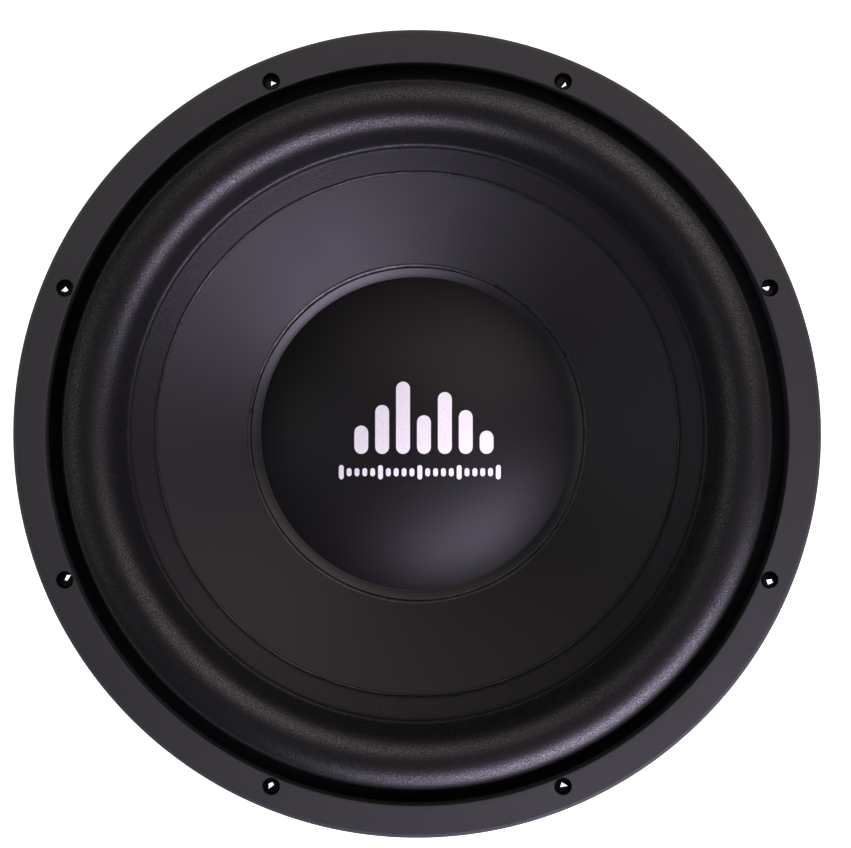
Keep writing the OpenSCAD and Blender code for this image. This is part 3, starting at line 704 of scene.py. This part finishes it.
def blend_radially(obj):
    """Lays each point on X at its radius while the object's transform is put into the mesh, then puts the
    points back.
    """
    count = len(obj.data.vertices)
    rest = np.empty(count * 3, np.float32)
    obj.data.vertices.foreach_get("co", rest)
    points = rest.reshape(-1, 3)
    flat = np.zeros_like(points)
    flat[:, 0] = np.hypot(points[:, 0], points[:, 1])
    obj.data.vertices.foreach_set("co", flat.ravel())
    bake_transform(obj)
    obj.data.vertices.foreach_set("co", rest)
    obj.data.update()


def ragged_opening(rng):
    """Outline of one hole punched through foam by hand, about a millimetre or two across."""
    corners = int(rng.integers(3, 5))
    jitter = rng.uniform(-0.25, 0.25, corners)
    turn = (np.arange(corners) + jitter) * math.tau / corners + rng.uniform(0, 7)
    reach = rng.uniform(0.7, 1.35, corners)
    reach[0] = rng.uniform(1.6, 2.1)
    tips = np.stack([reach * np.cos(turn), reach * np.sin(turn)], axis=1)
    along_edge = np.linspace(0, 1, 16, endpoint=False)[:, None]
    edges = [tips[k] + (tips[(k + 1) % corners] - tips[k]) * along_edge for k in range(corners)]
    opening = np.concatenate(edges)
    angle = np.linspace(0, math.tau, len(opening))
    return opening * (1 + waver(angle, int(rng.integers(1000)), 0.1, 3, 12))[:, None]


def foam_webs():
    """The foam under the gasket's holes, each with its own ragged opening."""
    webs, rng = [], np.random.default_rng(5)
    edge_r, web_low, web_top = GASKET_HOLE_R - 0.02, GASKET_LOW - 0.95, GASKET_LOW - 0.1
    for a in bolt_places():
        opening = ragged_opening(rng)
        toward = np.arctan2(opening[:, 1], opening[:, 0])
        slip = rng.uniform(-0.9, 0.9, 2)
        wall = edge_r * np.stack([np.cos(toward), np.sin(toward)], axis=1) - slip
        centre = slip + around(BOLT_CIRCLE_R, a, 0)[:2]
        rings = []
        for level, start, end in ((web_low, 0, 1), (web_top, 1, 0)):
            for t in np.linspace(start, end, 4):
                flat = opening + (wall - opening) * t + centre
                rings.append(np.column_stack([flat, np.full(len(flat), level)]))
        webs.append(loft("web", rings, closed=True))
    dress(join("foam_hole_edges", webs, FRAME_BODY), "foam")


def cone():
    """Moulded flared cone with a rounded outer edge and a neck collar."""
    outer_neck, steps = CONE_NECK_R + 1.3, 28
    back_w, front_w = CONE_R - outer_neck - 2, CONE_R - CONE_NECK_R - 1
    back = [on_cone(outer_neck + 1.5 + back_w * k / steps, -CONE_T) for k in range(steps + 1)]
    front = [on_cone(CONE_R - 0.5 - front_w * k / steps, 0) for k in range(steps + 1)]
    outline = (
        [(CONE_NECK_R, CONE_NECK_LOW), (outer_neck - 0.3, CONE_NECK_LOW)]
        + [(outer_neck, CONE_NECK_LOW + 0.3), (outer_neck, cone_z(outer_neck) - CONE_T - 0.8)]
        + back
        + [on_cone(CONE_R, -CONE_T + 0.4), on_cone(CONE_R, -0.4)]
        + front
        + [(CONE_NECK_R, CONE_NECK_LOW + NECK_COLLAR)]
    )
    shell = lathe("cone_shell", outline, 360, CONE_BODY)
    dress(shell, "cone", 60)
    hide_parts("cone")


def dust_cap():
    """Pressed cap: a dome that meets a flat lip in a tight bend."""
    centre, top = (0, DOME_CENTRE_Z), GLUE_GAP + CAP_T
    edge = math.degrees(math.acos(DOME_R / DOME_SPHERE_R))
    inner_r = DOME_SPHERE_R - CAP_T
    inner_edge = math.degrees(math.asin((cone_z(DOME_R) + GLUE_GAP - DOME_CENTRE_Z) / inner_r))
    outline = (
        arc(centre, DOME_SPHERE_R, 90, edge + 0.3, 72)
        + [on_cone(DOME_R + 0.1, top - 0.2), on_cone(DOME_R + 0.25, top - 0.26)]
        + [on_cone(DOME_R + 0.45, top - 0.25)]
        + [on_cone(CAP_R - 0.3, top), on_cone(CAP_R - 0.12, top - 0.04), on_cone(CAP_R, top - 0.18)]
        + [on_cone(CAP_R, GLUE_GAP), on_cone(DOME_R + 0.2, GLUE_GAP)]
        + arc(centre, inner_r, inner_edge, 90, 36)
    )
    cap = lathe("dust_cap_pressing", outline, 288, CONE_BODY)
    dress(cap, "dome", 30)
    dress_part(cap, "cap_lip", DOME_R + 0.1, math.inf)
    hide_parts("dust_cap")


def glue_bead(name, middle, half_w, height, gap, width_waver, drift_waver, swell, steps, segments):
    """A bead of black glue on the cone, laid by hand and so uneven in its width and its place."""

    def shift(r, z, angle):
        width = 1 + waver(angle, *width_waver)
        new_r = middle + waver(angle, *drift_waver) + (r - middle) * width
        up = (z - cone_z(r)) * (1 + swell * (width - 1))
        return new_r, cone_z(new_r) + np.maximum(up, gap)

    section = arc((0, 0), 1, 0, 180, steps)
    outline = [on_cone(middle + half_w * u, gap + height * v) for u, v in section]
    return lathe(name, outline, segments, CONE_BODY, shift)


def cap_glue():
    """Bead round the dust cap, thicker where it is wider."""
    width, drift = (21, 0.2, 2, 30), (22, 0.16, 2, 12)
    bead = glue_bead("dust_cap_bead", CAP_R + 0.8, 0.72, 0.22, GLUE_GAP, width, drift, 2, 14, 480)
    dress(bead, "black_glue", 75)
    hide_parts("dust_cap_glue")


def lip_glue():
    """Thin line of glue squeezed out at the surround's trimmed edge."""
    middle = CONE_R - LIP_W - 0.25
    line = glue_bead(
        "surround_glue_line", middle, 0.42, 0.22, 0.02, (31, 0.6, 3, 110), LIP_TRIM, 0, 8, 720
    )
    dress(line, "black_glue")


def bar_on_dome(x, y, width, height, clearance=0.015, thickness=0.05):
    """A thin bar with round ends, laid on the dome."""
    r = min(width, height) / 2
    rows, columns = max(12, int(height * 1.2)), max(6, int(width))
    rings = []
    for i in range(rows + 1):
        v = -math.cos(math.pi * i / rows) * height / 2
        half = width / 2
        if height >= width:
            past = max(0, abs(v) - (height / 2 - r))
            half += math.sqrt(max(r * r - past * past, 1e-4)) - r
        row = [(x + half * (2 * j / columns - 1), y + v) for j in range(columns + 1)]
        under, over = ([(*p, dome_z(*p) + up) for p in row] for up in (clearance, clearance + thickness))
        rings.append(under + over[::-1])
    return loft("bar", rings)


def emblem():
    """Generic printed mark on the dome: a row of level bars over a thin rule."""
    centre_x, foot_y, pitch, width = 2.6, -7.8, 8.1, 5.4
    rule_x, rule_y, tick_pitch, tick_w, short_tick, long_tick = 1, -14.9, 3.05, 1.9, 3.2, 5.6
    bars = []
    for k, height in enumerate((11, 19, 28, 15, 24, 17, 9)):
        bars.append(bar_on_dome(centre_x + (k - 3) * pitch, foot_y + height / 2, width, height))
    for k in range(21):
        height = short_tick if k % 5 else long_tick
        bars.append(bar_on_dome(rule_x + (k - 10) * tick_pitch, rule_y, tick_w, height))
    mark = join("dust_cap_emblem", bars, CONE_BODY)
    dress(mark, "print", 50)


# ------------------------ suspension and leads


def spiders():
    """Two corrugated discs of treated cloth."""
    inner, outer, rolls, roll_h, half_t = 41.8, 79.0, 5, 1.5, 0.3
    rim, bore = 86.0, 38.8
    for node in ("spider_upper", "spider_lower"):
        z = (low(node) + high(node)) / 2
        wave = []
        for k in range(rolls * 14 + 1):
            t = k / (rolls * 14)
            r = inner + (outer - inner) * t
            wave.append((r, z + roll_h * math.sin(math.tau * rolls * t)))
        top = [(r, v + half_t) for r, v in wave]
        under = [(r, v - half_t) for r, v in reversed(wave)]
        outline = [(bore, z - half_t), (bore, z + half_t)] + top
        outline += [(rim, z + half_t), (rim, z - half_t)] + under
        disc = lathe(node + "_cloth", outline, 288)
        dress(disc, "cloth", 60)
        blend_radially(disc)
        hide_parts(node)


# From a contact tab over the lower spider to an eyelet on the back of the cone
LEAD_ROUTE = [
    (10, 91.5, -42), (10, 89, -41.9), (10.2, 86.5, -41.2), (11, 84, -39.6), (12.8, 81.5, -37.2),
    (15.4, 79, -34.8), (18.4, 76.2, -32.9), (21, 73, -31.7), (22.8, 69.6, -31.2), (23.4, 66, -31.3),
    (22.6, 63.2, -31.3), (20.4, 61.2, -31.2), (17.6, 60, -31), (14.8, 59.6, -30.9), (12, 59.8, -30.9),
]


def smooth_route(points, count):
    """Evenly spaced points on a smooth curve through the given ones."""
    points = [Vector(p) for p in points]
    knots = [2 * points[0] - points[1]] + points + [2 * points[-1] - points[-2]]
    curve = []
    for i in range(1, len(knots) - 2):
        p0, p1, p2, p3 = knots[i - 1 : i + 3]
        for k in range(12):
            t = k / 12
            curve.append(0.5 * (2 * p1 + (p2 - p0) * t + (2 * p0 - 5 * p1 + 4 * p2 - p3) * t * t
                                + (3 * p1 - p0 - 3 * p2 + p3) * t**3))
    curve.append(points[-1])
    curve = np.array(curve)
    run = np.concatenate([[0], np.cumsum(np.linalg.norm(np.diff(curve, axis=0), axis=1))])
    at = np.linspace(0, run[-1], count)
    return np.stack([np.interp(at, run, curve[:, k]) for k in range(3)], axis=1)


def strand(route, wind_r, r, phase, turns, sides):
    """One strand that winds round a route."""
    ahead = np.gradient(route, axis=0)
    ahead /= np.linalg.norm(ahead, axis=1)[:, None]
    side = np.cross(ahead, (0, 0, 1))
    side /= np.linalg.norm(side, axis=1)[:, None]
    rise = np.cross(side, ahead)
    wind = phase + math.tau * turns * np.linspace(0, 1, len(route))
    centre = route + wind_r * (np.cos(wind)[:, None] * side + np.sin(wind)[:, None] * rise)
    spin = math.tau * np.arange(sides) / sides
    rings = centre[:, None] + r * (
        np.cos(spin)[None, :, None] * side[:, None] + np.sin(spin)[None, :, None] * rise[:, None]
    )
    return loft("strand", rings)


def tinsel_leads():
    """Four leads, each of strands wound both ways like a braid."""
    for side, sign in SIDES:
        for pole, hand in POLES:
            corners = [(x * hand * sign, y * sign, z) for x, y, z in LEAD_ROUTE]
            route = smooth_route(corners, 110)
            strands = [strand(route, 0, 0.72, 0, 0, 10)]
            for turns in (9, -9):
                strands += [strand(route, 0.86, 0.26, math.tau * k / 5, turns, 5) for k in range(5)]
            lead = join(f"braided_lead_{side}_{pole}", strands)
            dress(lead, "braid")
            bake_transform(lead)
            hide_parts(f"tinsel_lead_{side}_{pole}")


# ------------------------ basket


SKIRT_TOP_R, SKIRT_LOW_R, SKIRT_T, SKIRT_H, FLANGE_T = 138, 135, 4, 18, 4
LANDING_INNER_R, LANDING_R, LANDING_LOW, LANDING_TOP = 79.3, 92, -58, -54.3
NECK_R, NECK_WALL, PLATE_LOW, PLATE_TOP, PLATE_BORE_R = 78, 4, -82, -78, 44


def basket():
    """Cast basket: skirt ring, spokes that widen where they meet it, vented neck, terminal brackets."""
    rim = lathe("rim", subdivided(rounded([
        (SKIRT_TOP_R - SKIRT_T, FLANGE_T, 0.6), (SKIRT_TOP_R - SKIRT_T, 0, 0),
        (SKIRT_LOW_R - SKIRT_T, -SKIRT_H, 1), (SKIRT_LOW_R, -SKIRT_H, 1.2), (SKIRT_TOP_R, 0, 1.5),
        (FLANGE_R, 0, 0.8), (FLANGE_R, FLANGE_T, 0.8),
    ], 5), 6), 288)
    combine(rim, bolt_cutters(FLANGE_HOLE_R, -2, FLANGE_T + 2))
    neck = lathe("neck", subdivided(rounded([
        (PLATE_BORE_R, PLATE_LOW, 0.5), (NECK_R, PLATE_LOW, 1), (NECK_R, LANDING_LOW - 4, 3),
        (LANDING_R - 4, LANDING_LOW, 3), (LANDING_R, LANDING_LOW, 1), (LANDING_R, LANDING_TOP, 0.8),
        (LANDING_INNER_R, LANDING_TOP, 0.8), (LANDING_INNER_R, LANDING_LOW + 1, 1),
        (NECK_R - NECK_WALL, LANDING_LOW - 2, 1),
        (NECK_R - NECK_WALL, PLATE_TOP, 1.5), (PLATE_BORE_R, PLATE_TOP, 0.5),
    ], 4), 8), 288)
    vent_z, vent_r, screw_circle_r, screw_hole_r = -68, 5.5, 60, 2.75
    holes = []
    for a in (math.tau * (k + 0.5) / 12 for k in range(12)):
        holes.append(along(around(70, a, vent_z), around(1, a, 0), 16, vent_r))
    for a in (math.tau * k / 6 for k in range(6)):
        holes.append(along(around(screw_circle_r, a, PLATE_LOW - 1), (0, 0, 1), 6, screw_hole_r))
    combine(neck, holes)
    parts = [rim, neck] + [turned(spoke(), 60 * k) for k in range(6)]
    parts += [turned(bracket(), angle) for angle in (0, 180)]
    casting = join("basket_casting", parts, FRAME_BODY)
    dress(casting, "basket", 38)
    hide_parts("basket_rim", "basket_spokes", "basket_neck", "basket_brackets")


def spoke():
    """One spoke along +X: a plate with a rib behind it, wider at both ends."""
    top, foot = np.array([132.0, -12.0]), np.array([90.0, -51.0])
    run = (foot - top) / np.linalg.norm(foot - top)
    outward = np.array([-run[1], run[0]])
    if outward[0] < 0:
        outward = -outward
    section = rounded([
        (-10, 0, 1.2), (10, 0, 1.2), (10, 4.6, 1.4), (3.4, 5.2, 2.2), (2.6, 10.6, 1.2),
        (-2.6, 10.6, 1.2), (-3.4, 5.2, 2.2), (-10, 4.6, 1.4),
    ], 5)
    rings, stations = [], 26
    for k in range(stations + 1):
        t = k / stations
        flare = 1 + 0.55 * (1 - t) ** 5 + 0.35 * t**6
        depth = 1 - 0.35 * max(0, 1 - t / 0.18) ** 2 - 0.3 * max(0, (t - 0.85) / 0.15) ** 2
        centre = top + (foot - top) * t
        ring = []
        for u, v in section:
            at = centre + outward * v * (depth if v > 5 else 1)
            width = flare if v < 8 else 1 + (flare - 1) * 0.3
            ring.append((min(at[0], SKIRT_TOP_R - 0.6), u * width, at[1]))
        rings.append(ring)
    return loft("spoke", rings)


def bracket():
    """Upright tab for a terminal, on the landing ring at +Y."""
    thickness, half_w, top, y = 3, 23, -34, LANDING_R + 1
    foot = [(-half_w, LANDING_LOW, 0.5), (half_w, LANDING_LOW, 0.5)]
    outline = rounded(foot + [(half_w, top, 3), (-half_w, top, 3)], 5)
    tab = prism("tab", outline, lambda u, v, w: (u, y + w, v), thickness)
    combine(tab, contact_cutters(y - 1, thickness + 2))
    soften(tab, 0.4, 2)
    outline = rectangle(-half_w, LANDING_LOW + 0.05, half_w, LANDING_TOP - 0.05)
    shelf = prism("shelf", rounded(outline), lambda u, v, w: (u, y - 6 + w, v), 7)
    return join("bracket", [tab, shelf])


# ------------------------ magnet system


def magnet_system():
    """Top plate, yoke, boot and vent screen, each with its real edges."""
    steel_r, bore_r, plate_low = 75, 40.4, -92
    plate = lathe("top_plate_ring", rounded([
        (bore_r, plate_low, 0.4), (steel_r, plate_low, 0.8),
        (steel_r, PLATE_LOW, 0.8), (bore_r, PLATE_LOW, 0.4),
    ], 4), 288, FRAME_BODY)
    dress(plate, "plate", 50)
    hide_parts("top_plate")

    vent_r, flare, pole_r = 15, 4, 37.4
    pole_top, yoke_top, yoke_low = high("t_yoke"), -128, low("t_yoke")
    yoke = lathe("yoke", rounded([
        (vent_r, pole_top - flare, 3), (vent_r + flare, pole_top, 1), (pole_r, pole_top, 1),
        (pole_r, yoke_top, 1.5), (steel_r, yoke_top, 0.8), (steel_r, yoke_low, 0.8),
        (vent_r + flare, yoke_low, 1), (vent_r, yoke_low + flare, 3),
    ], 5), 288, FRAME_BODY)
    dress(yoke, "plate", 50)
    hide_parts("t_yoke")

    boot_r, boot_top, boot_low = radius("magnet_boot"), high("magnet_boot"), low("magnet_boot")
    inner, hole_r, tread, rib_h, rib_pitch = boot_r - 3, 24, boot_low + 0.8, 0.9, 5
    ribs = []
    for k in range(3):
        z = boot_top - 9 - rib_pitch * k
        ribs += [(boot_r, z, 0.4), (boot_r - rib_h, z - rib_h, 0.4), (boot_r, z - 2 * rib_h, 0.4)]
    outline = (
        [(inner, yoke_low), (inner, boot_top, 0.8), (boot_r - 0.6, boot_top, 0.8)]
        + [(boot_r, boot_top - 5, 0.8)]
        + ribs
        + [(boot_r, boot_low + 4, 2), (boot_r - 4, boot_low, 2), (60, boot_low, 0.4), (59, tread, 0.4)]
        + [(40, tread, 0.4), (39, boot_low, 0.4), (hole_r, boot_low, 1), (hole_r, yoke_low)]
    )
    boot = lathe("rubber_boot", subdivided(rounded(outline, 5), 4), 288, FRAME_BODY)
    dress(boot, "boot", 50)
    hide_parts("magnet_boot")
    vent_screen(yoke_low)


def vent_screen(top):
    """Round screen with a field of holes in rings."""
    screen_r, thickness, pitch, hole_r = 22.5, 0.6, 4.2, 1.5
    disc = lathe("screen_disc", rounded([
        (0, top - thickness), (screen_r, top - thickness, 0.2),
        (screen_r, top - GLUE_GAP, 0.2), (0, top - GLUE_GAP),
    ], 3), 96)
    holes = []
    for row in range(5):
        count = max(1, 6 * row)
        for k in range(count):
            place = around(row * pitch, math.tau * k / count, top - 2)
            holes.append(along(place, (0, 0, 1), 4, hole_r, 20))
    cutter = join("screen_holes", holes)
    combine(disc, [cutter])
    screen = join("vent_mesh", [disc], FRAME_BODY)
    dress(screen, "mesh", 40)
    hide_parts("vent_screen")


# ------------------------ terminals


TERMINAL_Z, BODY_BACK, BODY_FRONT, BARREL_END = -44, 98, 114, 118
BACK_PLATE_Y = 96
BUTTON_X, RIVET_X = 10, 18.5
CAP_START, CAP_END = 121.3, 125


def contact_cutters(y, depth):
    """Cutters for the two contact slots and the two rivet holes of a flat plate."""
    cutters = []
    for x in (-BUTTON_X, BUTTON_X):
        box = rounded(rectangle(x - 2.7, TERMINAL_Z - 0.5, x + 2.7, TERMINAL_Z + 0.5))
        cutters.append(prism("slot", box, lambda u, v, w: (u, y + w, v), depth))
    return cutters + [along((x, y, TERMINAL_Z), (0, 1, 0), depth, 1.7, 24) for x in (-RIVET_X, RIVET_X)]


def round_y(name, outline, x, z, segments=64):
    """An outline of (r, y) turned round a line along Y."""
    obj = lathe(name, outline, segments)
    for vertex in obj.data.vertices:
        u, v, w = vertex.co
        vertex.co = (u + x * MM, w, v + z * MM)
    weld(obj)
    return obj


def terminals():
    """Two terminal blocks, each with a red and a black button."""
    for side, sign in SIDES:
        angle = 0 if sign > 0 else 180
        terminal_housing(side, angle)
        for pole, hand in POLES:
            push_button(side, pole, hand * BUTTON_X, angle)
            button_spring(side, pole, hand * BUTTON_X, angle, sign)


def terminal_housing(side, angle):
    """Housing with two barrels, wire holes underneath, and a back plate."""
    outline = rounded(rectangle(-22, -54, 22, -34, 1.6), 5)
    block = prism("block", outline, lambda u, v, w: (u, BODY_BACK + w, v), BODY_FRONT - BODY_BACK)
    soften(block, 0.7, 3, 60)
    barrels, cutters = [], []
    for x in (-BUTTON_X, BUTTON_X):
        tube = rounded([
            (0, 112), (5.6, 112), (5.6, 116.6, 0.5), (5.1, BARREL_END, 0.5), (0, BARREL_END),
        ], 3)
        barrels.append(round_y("barrel", tube, x, TERMINAL_Z))
        cutters.append(along((x, BODY_BACK - 1, TERMINAL_Z), (0, 1, 0), 10.3, 4.9))
        cutters.append(along((x, BODY_BACK + 8, TERMINAL_Z), (0, 1, 0), 14, 4.2))
        cutters.append(along((x, 110, -55), (0, 0, 1), 11, 1.5, 32))
        cutters.append(along((x, 110, -54.6), (0, 0, 1), 1.6, 2.3, 32))
    for x in (-RIVET_X, RIVET_X):
        cutters.append(along((x, BODY_BACK - 1, TERMINAL_Z), (0, 1, 0), 9, 1.5, 24))
    combine(block, barrels, "UNION")
    combine(block, cutters)
    signs, sign_z, across, upright = [], -36.5, (1.6, 0.4), (0.4, 1.6)
    for x, bars in ((BUTTON_X, (across, upright)), (-BUTTON_X, (across,))):
        for w, h in bars:
            box = rounded(rectangle(x - w, sign_z - h, x + w, sign_z + h, 0.2), 2)
            signs.append(prism("sign", box, lambda u, v, q: (u, BODY_FRONT - 0.2 + q, v), 0.55))
    housing = join(f"terminal_{side}_housing", [block] + signs, FRAME_BODY)
    turned(housing, angle)
    dress(housing, "plastic", 40)
    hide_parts(f"terminal_{side}_body")

    thickness = BODY_BACK - BACK_PLATE_Y
    back = prism("back", outline, lambda u, v, w: (u, BACK_PLATE_Y + w, v), thickness - GLUE_GAP)
    combine(back, contact_cutters(BACK_PLATE_Y - 1, thickness + 2))
    soften(back, 0.25, 2, 60)
    plate = join(f"terminal_{side}_back_plate", [back], FRAME_BODY)
    turned(plate, angle)
    dress(plate, "plastic", 40)
    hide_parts(f"terminal_{side}_back")


def push_button(side, pole, x, angle):
    """Sprung button with a dished, ribbed cap and a cross hole for the wire."""
    ridges = []
    for k in range(4):
        y = CAP_START + 0.7 + 0.7 * k
        ridges += [(5.3, y, 0.12), (5.0, y + 0.18, 0.12), (5.0, y + 0.3, 0.12), (5.3, y + 0.48, 0.12)]
    outline = (
        [(0, 105.9), (4.6, 105.9, 0.2), (4.6, 107, 0.2), (3.9, 107, 0.1), (3.9, CAP_START, 0.1)]
        + [(5.3, CAP_START, 0.3)]
        + ridges
        + [(5.3, CAP_END, 0.6), (4.2, CAP_END, 0.4), (2.5, CAP_END - 0.45, 1.5), (0, CAP_END - 0.55)]
    )
    button = round_y("button", rounded(outline, 3), x, TERMINAL_Z)
    combine(button, [along((x, 113, TERMINAL_Z - 6), (0, 0, 1), 12, 1.9, 32)])
    piece = join(f"push_button_{side}_{pole}", [button], f"button_{side}_{pole}")
    turned(piece, angle)
    colour = "red" if pole == "plus" else "black"
    dress(piece, colour, 45)
    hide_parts(f"button_{side}_{pole}")


def button_spring(side, pole, x, angle, sign):
    """Compression spring behind a button."""
    start, end, turns, wind_r, wire_r, sides = 98.95, 105.55, 4, 3.3, 0.33, 8
    rings, ahead, spin = [], np.array([0, 1, 0]), [math.tau * j / sides for j in range(sides)]
    for k in range(turns * 24 + 1):
        t = k / (turns * 24)
        a = math.tau * turns * t
        out = np.array([math.cos(a), 0, math.sin(a)])
        centre = np.array([x, start + (end - start) * t, TERMINAL_Z]) + wind_r * out
        rings.append([centre + wire_r * (math.cos(s) * out + math.sin(s) * ahead) for s in spin])
    coil = turned(loft(f"return_spring_{side}_{pole}", rings), angle)
    dress(coil, "spring")
    behind, ahead = (0, sign * (start - 0.4) * MM, 0), (0, sign * (end + 0.4) * MM, 0)
    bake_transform(coil)
    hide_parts(f"spring_{side}_{pole}")


# ------------------------ stage, light and camera


def stage_floor():
    """Plain pale floor that gives back a little light of its own, like a lit studio table."""
    size, z = 20000, CAD_BOX[0].z / MM
    corners = [(-size, -size, z), (size, -size, z), (size, size, z), (-size, size, z)]
    floor = make("studio_floor", corners, [(0, 1, 2, 3)])
    s = Surface("studio_floor", Roughness=0.9, Emission_Strength=0.9)
    s.shader.inputs["Emission Color"].default_value = (1, 1, 1, 1)
    patches = s.noise(400, 2, 0.5)
    pale = s.between(patches, (0.86, 0.86, 0.86), (0.9, 0.9, 0.9))
    floor.data.materials.append(s.feed(Base_Color=pale))


def softbox(name, azimuth, elevation, distance, size, power, colour, spread=180, target=(0, 0, 0)):
    """Rectangular area light aimed at a point. Azimuth runs counterclockwise from +X, in degrees."""
    a, e = math.radians(azimuth), math.radians(elevation)
    place = Vector(around(math.cos(e), a, math.sin(e))) * distance
    light = bpy.data.lights.new(name, "AREA")
    light.energy, light.color, light.spread = power, colour, math.radians(spread)
    light.shape, (light.size, light.size_y) = "RECTANGLE", size
    lamp = place_in_scene(name, light)
    lamp.location = place
    lamp.rotation_euler = (Vector(target) - place).to_track_quat("-Z", "Y").to_euler()


def lights():
    """A curved bank of softboxes at the lower right, a wide one overhead at the upper right, and fills."""
    violet, warm, white = (0.84, 0.75, 1.0), (1.0, 0.87, 0.86), (1.0, 0.98, 0.98)
    key_azimuth, key_power = -60, 0.24
    lit_edge = around(0.13, math.radians(key_azimuth), 0)
    for turn, share in ((-30, 0.5), (-15, 0.9), (0, 1), (15, 0.9), (30, 0.5)):
        azimuth, power = key_azimuth + turn, key_power * share
        softbox(f"key_{turn}", azimuth, 29, 0.8, (0.2, 0.42), power, violet, 45, lit_edge)
    softbox("warm", 48, 46, 1.2, (1.0, 1.0), 5.8, warm)
    softbox("top", 105, 48, 1.2, (0.8, 0.8), 2, warm)
    softbox("fill", 178, 40, 1.3, (0.8, 0.8), 1.6, white)
    world = bpy.data.worlds.new("studio")
    world.use_nodes = True
    world.node_tree.nodes["Background"].inputs["Color"].default_value = (0.95, 0.95, 1, 1)
    world.node_tree.nodes["Background"].inputs["Strength"].default_value = 0.07
    bpy.context.scene.world = world
    bpy.context.scene.view_settings.view_transform = "Standard"


def camera():
    """Looks straight at the front with a long lens, slightly off the axis."""
    distance, view_width, sensor = 1500, 326.1, 36
    data = bpy.data.cameras.new("camera")
    data.sensor_width, data.lens = sensor, sensor * distance / view_width
    data.clip_start, data.clip_end = 0.05, 60
    cam = place_in_scene("camera", data)
    cam.location = (3.2 * MM, 3.8 * MM, (GASKET_TOP + distance) * MM)
    bpy.context.scene.camera = cam


camera()
lights()
stage_floor()
dress_kept_nodes()
gasket()
surround()
foam_webs()
cone()
dust_cap()
cap_glue()
lip_glue()
emblem()
spiders()
tinsel_leads()
basket()
magnet_system()
terminals()
